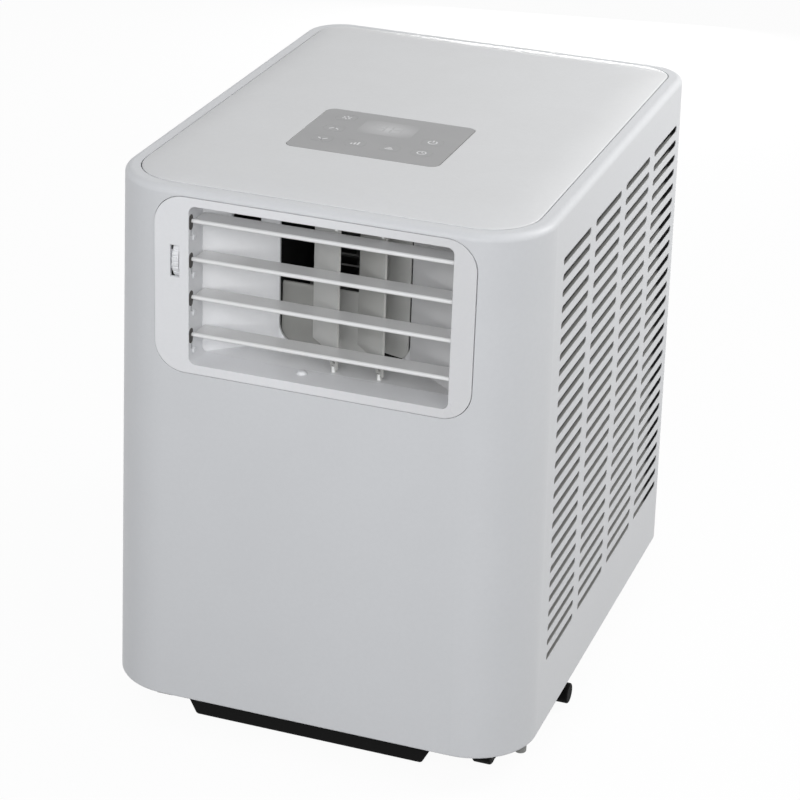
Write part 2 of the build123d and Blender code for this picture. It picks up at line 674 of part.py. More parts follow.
# Upright vanes with a clip at the foot, and the bar that turns them together
vane_spots = [(VANE_X, VANE_Y), (VANE_X + VANE_PITCH, VANE_Y)]
vane_back = (-sin(radians(VANE_YAW)), cos(radians(VANE_YAW)), 0)
for name, spot in zip(["vane_left", "vane_right"], vane_spots):
    blade_plane = Plane(origin=(spot[0], spot[1], 0), x_dir=vane_back, z_dir=(vane_back[1], -vane_back[0], 0))
    with BuildPart() as vane:
        with BuildSketch(blade_plane.offset(-VANE_T / 2)):
            with Locations(((VANE_BEHIND - VANE_AHEAD) / 2, (VANE_LOW + VANE_HIGH) / 2)):
                Rectangle(VANE_AHEAD + VANE_BEHIND, VANE_HIGH - VANE_LOW)
            with Locations((0, VANE_LOW - CLIP_H / 2)):
                Rectangle(CLIP_W, CLIP_H)
            with Locations((0, VANE_LOW - CLIP_H / 2 + 2)):
                Rectangle(CLIP_W - 2 * CLIP_LEG, CLIP_H - 3, mode=Mode.SUBTRACT)
        extrude(amount=VANE_T)
        with BuildSketch(Plane.XY.offset(VANE_LOW - CLIP_H + 1.5)):
            with Locations(spot):
                Circle(VANE_PIN_R)
        extrude(amount=OPEN_LOW - DUCT_T + FREE - VANE_LOW + CLIP_H - 1.5)
        with BuildSketch(Plane.XY.offset(VANE_HIGH - 3)):
            with Locations(spot):
                Circle(VANE_PIN_R)
        extrude(amount=OPEN_HIGH + DUCT_T - FREE - VANE_HIGH + 3)
        with BuildSketch(Plane.XY.offset(VANE_HIGH - 3)):
            with Locations((spot[0] + VANE_CRANK * vane_back[0], spot[1] + VANE_CRANK * vane_back[1])):
                Circle(PIVOT_R)
        extrude(amount=3 + FREE + LINK_T + FREE)
    keep(vane, name)

with BuildPart() as vane_link:
    with BuildSketch(Plane.XY.offset(VANE_HIGH + FREE)):
        with Locations((VANE_X + VANE_CRANK * vane_back[0], VANE_Y + VANE_CRANK * vane_back[1])):
            with Locations((VANE_PITCH / 2, 0)):
                SlotCenterToCenter(VANE_PITCH, 6)
            with Locations((0, 0), (VANE_PITCH, 0)):
                Circle(PIVOT_R + FIT, mode=Mode.SUBTRACT)
    extrude(amount=LINK_T)
keep(vane_link, "vane_link")

# Outlet duct: narrows from the frame to the throat of the upper blower
duct_front = FRONT_Y + COLLAR_D + SEAT
with BuildPart() as outlet_duct:
    with BuildSketch(Plane.XY.offset(OPEN_LOW - DUCT_T)):
        with BuildLine():
            Polyline(
                (OPEN_LEFT - DUCT_SKEW * DUCT_T, duct_front),
                (OPEN_RIGHT + DUCT_SKEW * DUCT_T, duct_front),
                (THROAT_RIGHT + DUCT_SKEW * DUCT_T, DUCT_BACK),
                (THROAT_LEFT - DUCT_SKEW * DUCT_T, DUCT_BACK),
                close=True,
            )
        make_face()
    extrude(amount=open_h + 2 * DUCT_T)
    with BuildSketch(Plane.XY.offset(OPEN_LOW)):
        with BuildLine():
            Polyline(
                (OPEN_LEFT, duct_front),
                (OPEN_RIGHT, duct_front),
                (THROAT_RIGHT, DUCT_BACK - DUCT_T),
                (THROAT_LEFT, DUCT_BACK - DUCT_T),
                close=True,
            )
        make_face()
    extrude(amount=open_h, mode=Mode.SUBTRACT)
    with BuildSketch(Plane.XZ.offset(-DUCT_BACK - 1)):
        with Locations(((THROAT_LEFT + THROAT_RIGHT) / 2, open_z)):
            RectangleRounded(THROAT_RIGHT - THROAT_LEFT, open_h, THROAT_R)
    extrude(amount=DUCT_T + 2, mode=Mode.SUBTRACT)
    with BuildSketch(Plane.XY.offset(OPEN_LOW - DUCT_T - 1)):
        with Locations(*vane_spots):
            Circle(VANE_PIN_R + FIT)
    extrude(amount=open_h + 2 * DUCT_T + 2, mode=Mode.SUBTRACT)
    with BuildSketch(Plane.XZ.offset(-duct_front)):
        with Locations((DUCT_SLOT_X, OPEN_HIGH - DUCT_SLOT_DROP)):
            Rectangle(DUCT_SLOT_W, DUCT_SLOT_H)
    extrude(amount=-40, mode=Mode.SUBTRACT)
keep(outlet_duct, "outlet_duct")


def housing(name, centre_y, centre_z, left, right, reach, mouth_y, mouth_low, tip, toward):
    """Spiral blower housing with an inlet on the right and a shaft hole on the left."""
    solids = []
    for grow, trim in ((DUCT_T, 0.0), (0.0, DUCT_T)):
        cut_off, under, far, top = [r + grow for r in reach]
        with BuildPart() as solid:
            with BuildSketch(Plane.YZ.offset(left - DUCT_T + trim)):
                with BuildLine():
                    start = (centre_y + toward * cut_off, centre_z)
                    low = (centre_y, centre_z - under)
                    back = (centre_y - toward * far, centre_z)
                    high = (centre_y, centre_z + top)
                    Spline(start, low, back, high, tangents=[(0, -1), (toward, 0)])
                    lip = centre_y + toward * cut_off
                    mouth = mouth_y + toward * (1.0 if trim else 0.0)
                    edge = tip if trim else mouth_low - grow
                    Polyline(high, (mouth, centre_z + top), (mouth, mouth_low - grow), (lip, edge), start)
                make_face()
            extrude(amount=right - left + 2 * DUCT_T - 2 * trim)
        solids.append(solid.part)
    with BuildPart() as scroll:
        add(solids[0])
        add(solids[1], mode=Mode.SUBTRACT)
        with BuildSketch(Plane.YZ.offset(right - 1)):
            with Locations((centre_y, centre_z)):
                Circle(INLET_R)
        extrude(amount=DUCT_T + 2, mode=Mode.SUBTRACT)
        with BuildSketch(Plane.YZ.offset(left + 1)):
            with Locations((centre_y, centre_z)):
                Circle(SHAFT_R + 6)
        extrude(amount=-DUCT_T - 2, mode=Mode.SUBTRACT)
    keep(scroll, name)


def fan(name, centre_y, centre_z, left, right):
    """Squirrel-cage wheel with a back plate, a front ring, blades and its shaft."""
    with BuildPart() as wheel:
        with BuildSketch(Plane.YZ.offset(left + FAN_SIDE)):
            with Locations((centre_y, centre_z)):
                Circle(FAN_R)
        extrude(amount=FAN_DISC)
        with BuildSketch(Plane.YZ.offset(right - FAN_SIDE)):
            with Locations((centre_y, centre_z)):
                Circle(FAN_R)
                Circle(FAN_R - FAN_BLADE, mode=Mode.SUBTRACT)
        extrude(amount=-FAN_DISC)
        with BuildSketch(Plane.YZ.offset(left + FAN_SIDE + 1)):
            with Locations((centre_y, centre_z)):
                with PolarLocations(FAN_R - FAN_BLADE / 2 - 0.4, FAN_BLADES):
                    Rectangle(FAN_BLADE - 1, 1.4, rotation=28)
        extrude(amount=right - left - 2 * FAN_SIDE - 2)
        with BuildSketch(Plane.YZ.offset(left + FAN_SIDE)):
            with Locations((centre_y, centre_z)):
                Circle(HUB_R)
        extrude(amount=HUB_L)
        with BuildSketch(Plane.YZ.offset(left + FAN_SIDE + 1)):
            with Locations((centre_y, centre_z)):
                Circle(SHAFT_R)
        extrude(amount=-(FAN_SIDE + DUCT_T + MOTOR_L))
    keep(wheel, name)


def motor(name, centre_y, centre_z, right, floor_z):
    """Fan motor with a flange towards the housing and a post down to what it stands on."""
    with BuildPart() as body:
        with BuildSketch(Plane.YZ.offset(right)):
            with Locations((centre_y, centre_z)):
                Circle(MOTOR_R)
        extrude(amount=-MOTOR_L)
        with BuildSketch(Plane.YZ.offset(right)):
            with Locations((centre_y, centre_z)):
                Circle(MOTOR_R + 7)
        extrude(amount=-4)
        with BuildSketch(Plane.XY.offset(floor_z)):
            with Locations((right - MOTOR_L / 2, centre_y)):
                Rectangle(MOTOR_L - 16, 34)
        extrude(amount=centre_z - floor_z)
        with BuildSketch(Plane.YZ.offset(right + 1)):
            with Locations((centre_y, centre_z)):
                Circle(SHAFT_R + FIT)
        extrude(amount=-MOTOR_L - 2, mode=Mode.SUBTRACT)
    keep(body, name)


motor_seam = DUCT_T + 0.6
housing(
    "upper_housing",
    UPPER_Y,
    UPPER_Z,
    THROAT_LEFT,
    THROAT_RIGHT,
    UPPER_REACH,
    DUCT_BACK + SEAT,
    OPEN_LOW,
    UPPER_Z + SCROLL_TIP,
    -1,
)
fan("upper_fan", UPPER_Y, UPPER_Z, THROAT_LEFT, THROAT_RIGHT)
motor("upper_motor", UPPER_Y, UPPER_Z, THROAT_LEFT - motor_seam, TRAY_Z + TRAY_T + SEAT)
exhaust_back = REAR_Y - EXHAUST_IN
mouth_low = LOWER_Z + LOWER_REACH[3] - 2 * EXHAUST_R - 2
housing(
    "lower_housing",
    LOWER_Y,
    LOWER_Z,
    LOWER_LEFT,
    LOWER_RIGHT,
    LOWER_REACH,
    exhaust_back - SEAT,
    mouth_low,
    mouth_low,
    1,
)
fan("lower_fan", LOWER_Y, LOWER_Z, LOWER_LEFT, LOWER_RIGHT)
motor("lower_motor", LOWER_Y, LOWER_Z, LOWER_LEFT - motor_seam, PAN_FLOOR + SEAT)

# Exhaust port: a round collar through the back panel, with a square plate against the lower housing
with BuildPart() as exhaust_collar:
    with BuildSketch(Plane.XZ.offset(-exhaust_back)):
        with Locations((EXHAUST_X, EXHAUST_Z)):
            Rectangle(EXHAUST_PLATE, EXHAUST_PLATE)
    extrude(amount=-2)
    with BuildSketch(Plane.XZ.offset(-exhaust_back)):
        with Locations((EXHAUST_X, EXHAUST_Z)):
            Circle(EXHAUST_R + EXHAUST_T)
    extrude(amount=-EXHAUST_IN - EXHAUST_PROUD)
    with BuildSketch(Plane.XZ.offset(-exhaust_back + 1)):
        with Locations((EXHAUST_X, EXHAUST_Z)):
            Circle(EXHAUST_R)
    extrude(amount=-EXHAUST_IN - EXHAUST_PROUD - 2, mode=Mode.SUBTRACT)
keep(exhaust_collar, "exhaust_collar")

# Base pan with castor bosses and the drain spout
pan_outer = drafted(WALL + GAP, PAN_Z, PAN_TOP)
pan_inner = drafted(WALL + GAP + PAN_WALL, PAN_FLOOR, PAN_TOP + 1)
castor_spots = [
    (-CASTOR_X, -CASTOR_Y),
    (CASTOR_X, -CASTOR_Y),
    (-CASTOR_X, CASTOR_Y),
    (CASTOR_X, CASTOR_Y),
]
with BuildPart() as base_pan:
    add(pan_outer)
    add(pan_inner, mode=Mode.SUBTRACT)
    with BuildSketch(Plane.XY.offset(PAN_FLOOR)):
        with Locations(*castor_spots):
            Circle(STEM_R + BOSS_T)
    extrude(amount=STEM_L)
    with BuildSketch(Plane.XY.offset(PAN_Z - 1)):
        with Locations(*castor_spots):
            Circle(STEM_R + FIT)
    extrude(amount=PAN_T + STEM_L + 2, mode=Mode.SUBTRACT)
    with BuildSketch(Plane.YZ.offset(SPOUT_END)):
        with Locations((DRAIN_Y, DRAIN_Z)):
            Circle(SPOUT_R)
        with Locations((DRAIN_Y, (DRAIN_Z + PAN_Z + 1) / 2)):
            Rectangle(2 * SPOUT_R, PAN_Z + 1 - DRAIN_Z)
    extrude(amount=-SPOUT_L)
    with BuildSketch(Plane.YZ.offset(SPOUT_END + 1)):
        with Locations((DRAIN_Y, DRAIN_Z)):
            Circle(DRAIN_R)
    extrude(amount=4 - SPOUT_L, mode=Mode.SUBTRACT)
    with BuildSketch(Plane.XY.offset(DRAIN_Z)):
        with Locations((SPOUT_END - SPOUT_L + 10, DRAIN_Y)):
            Circle(DRAIN_R - 0.5)
    extrude(amount=PAN_FLOOR - DRAIN_Z + 1, mode=Mode.SUBTRACT)
keep(base_pan, "base_pan")

with BuildPart() as drain_plug:
    with BuildSketch(Plane.YZ.offset(SPOUT_END + FREE)):
        with Locations((DRAIN_Y, DRAIN_Z)):
            Circle(PLUG_R)
    extrude(amount=PLUG_L)
    fillet(drain_plug.edges().filter_by(GeomType.CIRCLE), 1.2)
    with BuildSketch(Plane.YZ.offset(SPOUT_END + FREE + 2)):
        with Locations((DRAIN_Y, DRAIN_Z)):
            Circle(DRAIN_R - FIT)
    extrude(amount=-14)
keep(drain_plug, "drain_plug")

# Black skid under the front edge and the pale pads in the corners
with BuildPart() as front_skid:
    with BuildSketch(Plane.XZ.offset(-FRONT_Y - SKID_IN)) as skid_face:
        with BuildLine():
            Polyline(
                (-SKID_W / 2, PAN_Z - SEAM),
                (-SKID_W / 2, PAN_Z - 7),
                (SKID_SLOPE - SKID_W / 2, SKID_Z),
                (SKID_W / 2 - SKID_SLOPE, SKID_Z),
                (SKID_W / 2, PAN_Z - 7),
                (SKID_W / 2, PAN_Z - SEAM),
                close=True,
            )
        make_face()
        fillet(skid_face.vertices().group_by(Axis.Z)[0], 3.0)
    extrude(amount=-SKID_T)
    fillet(front_skid.edges().group_by(Axis.Z)[0], 1.5)
keep(front_skid, "front_skid")

with BuildPart() as corner_pads:
    with BuildSketch(Plane.XY.offset(PAD_Z)):
        with GridLocations(2 * PAD_X, 2 * PAD_Y, 2, 2):
            Circle(PAD_R)
    extrude(amount=PAN_Z - SEAM - PAD_Z)
    fillet(corner_pads.edges().group_by(Axis.Z)[0], 1.2)
keep(corner_pads, "corner_pads")

# Castors: swivelling fork with its stem and axle, and a wheel
fork_gap = WHEEL2_W / 2 + FREE
crown_z = 2 * WHEEL2_R + 0.6
for name, spot in zip(["front_left", "front_right", "rear_left", "rear_right"], castor_spots):
    axle_y = spot[1] - TRAIL
    with BuildPart() as fork:
        with BuildSketch(Plane.XY.offset(crown_z)):
            with Locations((spot[0], spot[1] - TRAIL / 2)):
                RectangleRounded(2 * (fork_gap + CHEEK_T), 20, 3)
        extrude(amount=CROWN_T)
        with BuildSketch(Plane.YZ.offset(spot[0])):
            with BuildLine():
                Polyline(
                    (axle_y - 4, WHEEL2_R - 4),
                    (axle_y + 4, WHEEL2_R - 4),
                    (spot[1] + 4, crown_z + 0.5),
                    (axle_y - 5, crown_z + 0.5),
                    close=True,
                )
            make_face()
        extrude(amount=fork_gap + CHEEK_T, both=True)
        with BuildSketch(Plane.YZ.offset(spot[0])):
            with Locations((axle_y, crown_z / 2)):
                Rectangle(60, crown_z)
        extrude(amount=fork_gap, both=True, mode=Mode.SUBTRACT)
        with BuildSketch(Plane.YZ.offset(spot[0])):
            with Locations((axle_y, WHEEL2_R)):
                Circle(AXLE_R)
        extrude(amount=fork_gap + CHEEK_T, both=True)
        with BuildSketch(Plane.XY.offset(crown_z + 1)):
            with Locations(spot):
                Circle(STEM_R)
        extrude(amount=PAN_FLOOR + STEM_L - crown_z)
    keep(fork, f"castor_{name}")
    with BuildPart() as roller:
        with BuildSketch(Plane.YZ.offset(spot[0])):
            with Locations((axle_y, WHEEL2_R)):
                Circle(WHEEL2_R)
                Circle(AXLE_R + FIT, mode=Mode.SUBTRACT)
        extrude(amount=WHEEL2_W / 2, both=True)
        rims = roller.edges().filter_by(lambda e: e.geom_type == GeomType.CIRCLE and e.radius > WHEEL2_R - 1)
        fillet(rims, 1.5)
    keep(roller, f"wheel_{name}")

# Partition that catches the drips of the upper coil
with BuildPart() as drip_tray:
    with BuildSketch(Plane.XY.offset(TRAY_Z)):
        Rectangle(TOP_W - 2 * TRAY_SIDE, BODY_D - 2 * TRAY_END)
    extrude(amount=TRAY_LIP)
    fillet(drip_tray.edges().filter_by(Axis.Z), TRAY_R)
    with BuildSketch(Plane.XY.offset(TRAY_Z + TRAY_T)):
        RectangleRounded(
            TOP_W - 2 * (TRAY_SIDE + TRAY_T), BODY_D - 2 * (TRAY_END + TRAY_T), TRAY_R - TRAY_T
        )
    extrude(amount=TRAY_LIP, mode=Mode.SUBTRACT)
    with BuildSketch(Plane.XY.offset(TRAY_Z - 1)):
        with Locations((COIL_X0 + 8, TANK_Y)):
            Circle(TUBE_R + 2)
    extrude(amount=TRAY_LIP + 2, mode=Mode.SUBTRACT)
keep(drip_tray, "drip_tray")


def coil(name, low, high, foot_z):
    """Finned block between two end plates, with return bends at the back and feet."""
    with BuildPart() as block:
        with BuildSketch(Plane.XY.offset(low)):
            with Locations((COIL_X0 + COIL_T / 2, 0)):
                Rectangle(COIL_T - 2, COIL_L)
        extrude(amount=high - low)
        for end in (-1, 1):
            with BuildSketch(Plane.XY.offset(foot_z)):
                with Locations((COIL_X0 + COIL_T / 2, end * (COIL_L / 2 - COIL_PLATE / 2))):
                    Rectangle(COIL_T, COIL_PLATE)
            extrude(amount=high - foot_z)
        bends = int((high - low - 2 * BEND_R) // BEND_PITCH) + 1
        first = (low + high) / 2 - (bends - 1) * BEND_PITCH / 2
        for k in range(bends):
            centre = (COIL_X0 + COIL_T / 2, COIL_L / 2, first + k * BEND_PITCH)
            with Locations(Location(centre, (0, 90, 0))):
                Torus(BEND_R - 3, TUBE_R - 0.5, major_angle=180)
    keep(block, name)


coil("evaporator", EVAP_Z0, EVAP_Z1, TRAY_Z + TRAY_T + SEAT)
coil("condenser", COND_Z0, COND_Z1, PAN_FLOOR + SEAT)

# Compressor on rubber feet, its suction tank and the pipes
with BuildPart() as compressor:
    with BuildSketch(Plane.XY.offset(COMP_Z)):
        with Locations((COMP_X, COMP_Y)):
            Circle(COMP_R)
    extrude(amount=COMP_H)
    fillet(compressor.edges().group_by(Axis.Z)[-1], 18)
    with BuildSketch(Plane.XY.offset(COMP_Z)):
        with Locations((COMP_X, COMP_Y)):
            Circle(COMP_R + 1)
            with PolarLocations(FOOT_RING / 2, 3, start_angle=30):
                Rectangle(FOOT_RING, 22)
    extrude(amount=-ARM_T)
    with BuildSketch(Plane.XY.offset(COMP_Z + COMP_H - 1)):
        with Locations((COMP_X, COMP_Y + 12)):
            RectangleRounded(30, 24, 4)
    extrude(amount=10)
keep(compressor, "compressor")

with BuildPart() as compressor_feet:
    with BuildSketch(Plane.XY.offset(PAN_FLOOR + SEAM)):
        with Locations((COMP_X, COMP_Y)):
            with PolarLocations(FOOT_RING - 10, 3, start_angle=30):
                Circle(FOOT_R)
    extrude(amount=FOOT_H - 2 * SEAM)
keep(compressor_feet, "compressor_feet")

tank_low = PAN_FLOOR + TANK_UP
tank_top = tank_low + TANK_H
with BuildPart() as suction_tank:
    with BuildSketch(Plane.XY.offset(tank_low)):
        with Locations((TANK_X, TANK_Y)):
            Circle(TANK_R)
    extrude(amount=TANK_H)
    fillet(suction_tank.edges().filter_by(GeomType.CIRCLE), 9)
    with BuildSketch(Plane.XY.offset(PAN_FLOOR + SEAT)):
        with Locations((TANK_X, TANK_Y)):
            Circle(TUBE_R + 1)
    extrude(amount=TANK_UP)
keep(suction_tank, "suction_tank")

discharge = [
    (COMP_X, COMP_Y - 30, COMP_Z + COMP_H + 0.2),
    (COMP_X, COMP_Y - 30, COND_Z1 - 4),
    (COIL_X0 + 15, COMP_Y - 30, COND_Z1 - 4),
    (COIL_X0 + 15, COMP_Y - 30, COND_Z1 - 30),
    (COIL_X0 + 15, -COIL_L / 2 - 0.2, COND_Z1 - 30),
]
suction = [
    (TANK_X, TANK_Y, tank_top + 0.2),
    (TANK_X, TANK_Y, tank_top + 10),
    (COIL_X0 + 8, TANK_Y, tank_top + 10),
    (COIL_X0 + 8, TANK_Y, EVAP_Z0 + 50),
    (COIL_X0 + 8, -COIL_L / 2 - 0.2, EVAP_Z0 + 50),
]
with BuildPart() as pipes:
    for points in (discharge, suction):
        with BuildLine() as route:
            FilletPolyline(*points, radius=TUBE_BEND)
        with BuildSketch(Plane(origin=route.line @ 0, z_dir=route.line % 0)) as bore:
            Circle(TUBE_R)
        sweep(sections=bore.sketch, path=route.line)
keep(pipes, "refrigerant_pipes")

# Control box behind the upper blower
with BuildPart() as control_box:
    with BuildSketch(Plane.XY.offset(TRAY_Z + TRAY_T + SEAT)):
        with Locations((BOX_X, BOX_Y)):
            RectangleRounded(BOX_W, BOX_D, BOX_R)
    extrude(amount=BOX_H)
    fillet(control_box.edges().group_by(Axis.Z)[-1], 3)
keep(control_box, "control_box")

# Filter cassettes in rails, one behind each grille, drawn out through slots at the back
frame_length = FILTER_END - FILTER_FRONT
frame_mid = (FILTER_END + FILTER_FRONT) / 2
with BuildPart() as frame_right:
    with BuildSketch(filter_plane):
        with Locations((frame_mid, 0)):
            Rectangle(frame_length, filter_h)
            Rectangle(frame_length - 2 * FRAME_W, filter_h - 2 * FRAME_W, mode=Mode.SUBTRACT)
        with Locations(*[(frame_mid, height) for height in RIB_SPOTS]):
            Rectangle(frame_length - FRAME_W, RIB_W)
        with Locations((frame_mid - frame_length / 6, 0), (frame_mid + frame_length / 6, 0)):
            Rectangle(RIB_W, filter_h - FRAME_W)
    extrude(amount=-FILTER_T)
keep(frame_right, "filter_frame_right")

with BuildPart() as net_right:
    with BuildSketch(filter_plane.offset(-FILTER_T)):
        with Locations((frame_mid, 0)):
            Rectangle(frame_length - 2 * NET_EDGE, filter_h - 2 * NET_EDGE)
    extrude(amount=-NET_T)
keep(net_right, "filter_net_right")

with BuildPart() as grip_right:
    with BuildSketch(filter_plane):
        with Locations(((FILTER_END + GRIP_END) / 2, 0)):
            Rectangle(GRIP_END - FILTER_END, filter_h)
    extrude(amount=-FILTER_T)
    with BuildSketch(filter_plane.offset(-FILTER_T / 2 + 1)):
        with Locations((GRIP_END + TAB_W / 2 - 1, 0)):
            RectangleRounded(TAB_W, TAB_H, 2)
    extrude(amount=-2)
keep(grip_right, "filter_grip_right")

with BuildPart() as frame_left:
    mirror(frame_right.part, about=Plane.YZ)
keep(frame_left, "filter_frame_left")

with BuildPart() as net_left:
    mirror(net_right.part, about=Plane.YZ)
keep(net_left, "filter_net_left")

with BuildPart() as grip_left:
    mirror(grip_right.part, about=Plane.YZ)
keep(grip_left, "filter_grip_left")

with BuildPart() as filter_rails:
    for side in (-1, 1):
        edge = side * (filter_h / 2 + FREE + RAIL_T / 2)
        lip = side * (filter_h / 2 - 1.5)
        with BuildSketch(filter_plane.offset(FREE + RAIL_T)):
            with Locations((frame_mid, edge)):
                Rectangle(frame_length, RAIL_T)
        extrude(amount=-(filter_pass + 2 * FREE + 2 * RAIL_T))
        with BuildSketch(filter_plane.offset(FREE)):
            with Locations((frame_mid, lip + side * 2)):
                Rectangle(frame_length, RAIL_LIP + RAIL_T)
        extrude(amount=RAIL_T)
        with BuildSketch(filter_plane.offset(-filter_pass - FREE)):
            with Locations((frame_mid, lip + side * 2)):
                Rectangle(frame_length, RAIL_LIP + RAIL_T)
        extrude(amount=-RAIL_T)
    mirror(about=Plane.YZ)
keep(filter_rails, "filter_rails")

# Back panel: flush plate with a lip behind the shell, intake slots, exhaust hole and cord inlet
back_x = BACK_W / 2 - SCREW_IN
screw_spots = [
    (-back_x, BACK_LOW + SCREW_IN),
    (back_x, BACK_LOW + SCREW_IN),
    (-back_x, (BACK_LOW + BACK_HIGH) / 2),
    (back_x, (BACK_LOW + BACK_HIGH) / 2 + 20),
    (-back_x, BACK_HIGH - SCREW_IN),
    (back_x, BACK_HIGH - SCREW_IN),
]
cord_spot = (CORD_IN - BACK_W / 2, BACK_LOW + CORD_UP)
with BuildPart() as rear_cover:
    with BuildSketch(Plane.XZ.offset(-REAR_Y)):
        with Locations((0, (BACK_LOW + BACK_HIGH) / 2)):
            RectangleRounded(BACK_W, BACK_HIGH - BACK_LOW, BACK_R)
    extrude(amount=WALL + GAP)
    with BuildSketch(Plane.XZ.offset(-REAR_Y + WALL + GAP)):
        with Locations((0, (BACK_LOW + BACK_HIGH) / 2)):
            RectangleRounded(BACK_W + 2 * BACK_LIP, BACK_HIGH - BACK_LOW + 2 * BACK_LIP, BACK_R + BACK_LIP)
    extrude(amount=WALL)
    with BuildSketch(Plane.XZ.offset(-REAR_Y - 1)):
        with Locations((EXHAUST_X, EXHAUST_Z)):
            Circle(EXHAUST_R + EXHAUST_T + GAP)
        with Locations(cord_spot):
            Circle(GLAND_R)
        with Locations(*screw_spots):
            Circle(SCREW_R + FIT)
        with Locations((0, BACK_HIGH - BACK_SLOT_DROP)):
            with GridLocations(SLOT_W + BACK_SLOT_BAR, SLOT_PITCH_Z, 2, BACK_SLOT_ROWS):
                SlotOverall(SLOT_W, SLOT_H)
    extrude(amount=2 * WALL + GAP + 2, mode=Mode.SUBTRACT)
    with BuildSketch(Plane.XZ.offset(-REAR_Y - 1)):
        with Locations(*screw_spots):
            Circle(SCREW_HEAD_R + 0.4)
    extrude(amount=1 + SCREW_HEAD_H + 0.2, mode=Mode.SUBTRACT)
keep(rear_cover, "rear_cover")

with BuildPart() as rear_screws:
    with BuildSketch(Plane.XZ.offset(-REAR_Y + 0.3)):
        with Locations(*screw_spots):
            Circle(SCREW_HEAD_R)
    extrude(amount=SCREW_HEAD_H - 0.2)
    with BuildSketch(Plane.XZ.offset(-REAR_Y + 0.3 + SCREW_HEAD_H - 0.2)):
        with Locations(*screw_spots):
            Circle(SCREW_R)
    extrude(amount=SCREW_L)
    with BuildSketch(Plane.XZ.offset(-REAR_Y)):
        for spot in screw_spots:
            with Locations(spot):
                Rectangle(SCREW_CROSS, CROSS_W)
                Rectangle(CROSS_W, SCREW_CROSS)
    extrude(amount=1.2, mode=Mode.SUBTRACT)
keep(rear_screws, "rear_screws")

with BuildPart() as cord_gland:
    with BuildSketch(Plane.XZ.offset(-REAR_Y)):
        with Locations(cord_spot):
            Circle(GLAND_R - FIT)
            Circle(CORD_R, mode=Mode.SUBTRACT)
    extrude(amount=2 * WALL + GAP + 4)
keep(cord_gland, "cord_gland")
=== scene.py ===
import math

import bmesh
import bpy
from mathutils import Matrix, Vector


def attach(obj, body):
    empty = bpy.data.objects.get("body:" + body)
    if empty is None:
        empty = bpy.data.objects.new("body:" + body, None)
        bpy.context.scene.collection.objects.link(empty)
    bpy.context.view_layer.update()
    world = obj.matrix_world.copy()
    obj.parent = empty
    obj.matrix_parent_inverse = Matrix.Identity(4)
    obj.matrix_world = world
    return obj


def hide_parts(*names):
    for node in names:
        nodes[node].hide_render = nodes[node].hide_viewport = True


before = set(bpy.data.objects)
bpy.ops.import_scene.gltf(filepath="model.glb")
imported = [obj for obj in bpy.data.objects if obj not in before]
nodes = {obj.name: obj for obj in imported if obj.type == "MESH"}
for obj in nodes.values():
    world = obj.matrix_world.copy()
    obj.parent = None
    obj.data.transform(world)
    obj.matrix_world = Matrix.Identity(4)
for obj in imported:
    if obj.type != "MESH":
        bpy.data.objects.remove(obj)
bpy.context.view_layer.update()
MM = 0.001

# Portable air conditioner: the finishes of its CAD pieces, and the pieces that the CAD leaves plain.
# All lengths are in metres unless a name ends in _MM.

# Cabinet
SIDE_HALF = 0.158  # half width at the rim
HALF_DEPTH = 0.2115
RIM_TOP = 0.432
SIDE_LEAN = math.tan(math.radians(0.984))
LID_TOP = 0.437
DISPLAY_MIDDLE = (-0.006, -0.045)

# Dust, and painted shade in the grille slots and the outlet
DUST = (0.52, 0.50, 0.47, 1.0)  # on faces that look up
OUTLET_SHADE_GREY = (0.40, 0.395, 0.39, 1.0)  # painted shade that darkens the outlet towards its right
SLOT_WALL_SHADE_GREY = (0.27, 0.27, 0.26, 1.0)  # painted shade on the walls of the grille slots
REAR_SHADE_BLACK = (0.008, 0.008, 0.008, 1.0)  # painted shade, black towards the filter grips
NET_LINT = (0.17, 0.165, 0.155, 1.0)
SLOT_LIMITS = [("Y", -0.150, -0.147), ("Y", 0.186, 0.183), ("Z", 0.412, 0.408)]  # axis, first shade, full shade
REAR_SHADE_FROM, REAR_SHADE_FULL = 0.137, 0.146  # along the depth of the cabinet
REAR_SHADE_BEND = 0.33  # height over which the black shade draws back
REAR_SHADE_LEAN = 0.3


# ---- shared shader groups

def shader_group(name, inputs, outputs):
    """An empty shader group with float inputs and outputs given as (label, socket type)."""
    tree = bpy.data.node_groups.new(name, "ShaderNodeTree")
    for label, value in inputs:
        socket = tree.interface.new_socket(label, in_out="INPUT", socket_type="NodeSocketFloat")
        socket.default_value = value
    for label, kind in outputs:
        tree.interface.new_socket(label, in_out="OUTPUT", socket_type=kind)
    return tree, tree.nodes.new("NodeGroupInput"), tree.nodes.new("NodeGroupOutput")


def math_node(tree, operation, first, second=None, clamp=False):
    node = tree.nodes.new("ShaderNodeMath")
    node.operation = operation
    node.use_clamp = clamp
    for socket, value in zip(node.inputs, (first, second)):
        if value is None:
            continue
        if isinstance(value, (int, float)):
            socket.default_value = value
        else:
            tree.links.new(value, socket)
    return node.outputs[0]


def noise_node(tree, vector, scale, detail=2.0, rough=0.5):
    node = tree.nodes.new("ShaderNodeTexNoise")
    node.inputs["Detail"].default_value = detail
    node.inputs["Roughness"].default_value = rough
    if isinstance(scale, (int, float)):
        node.inputs["Scale"].default_value = scale
    else:
        tree.links.new(scale, node.inputs["Scale"])
    tree.links.new(vector, node.inputs["Vector"])
    return node.outputs["Fac"]


def range_node(tree, value, low, high, to_low=0.0, to_high=1.0):
    node = tree.nodes.new("ShaderNodeMapRange")
    node.inputs["From Min"].default_value = low
    node.inputs["From Max"].default_value = high
    node.inputs["To Min"].default_value = to_low
    node.inputs["To Max"].default_value = to_high
    tree.links.new(value, node.inputs["Value"])
    return node.outputs["Result"]


def object_place(tree):
    """Coordinates of the object, the same as the shared frame because no piece is moved or turned."""
    return tree.nodes.new("ShaderNodeTexCoord").outputs["Object"]


def face_normal(tree):
    return tree.nodes.new("ShaderNodeNewGeometry").outputs["Normal"]


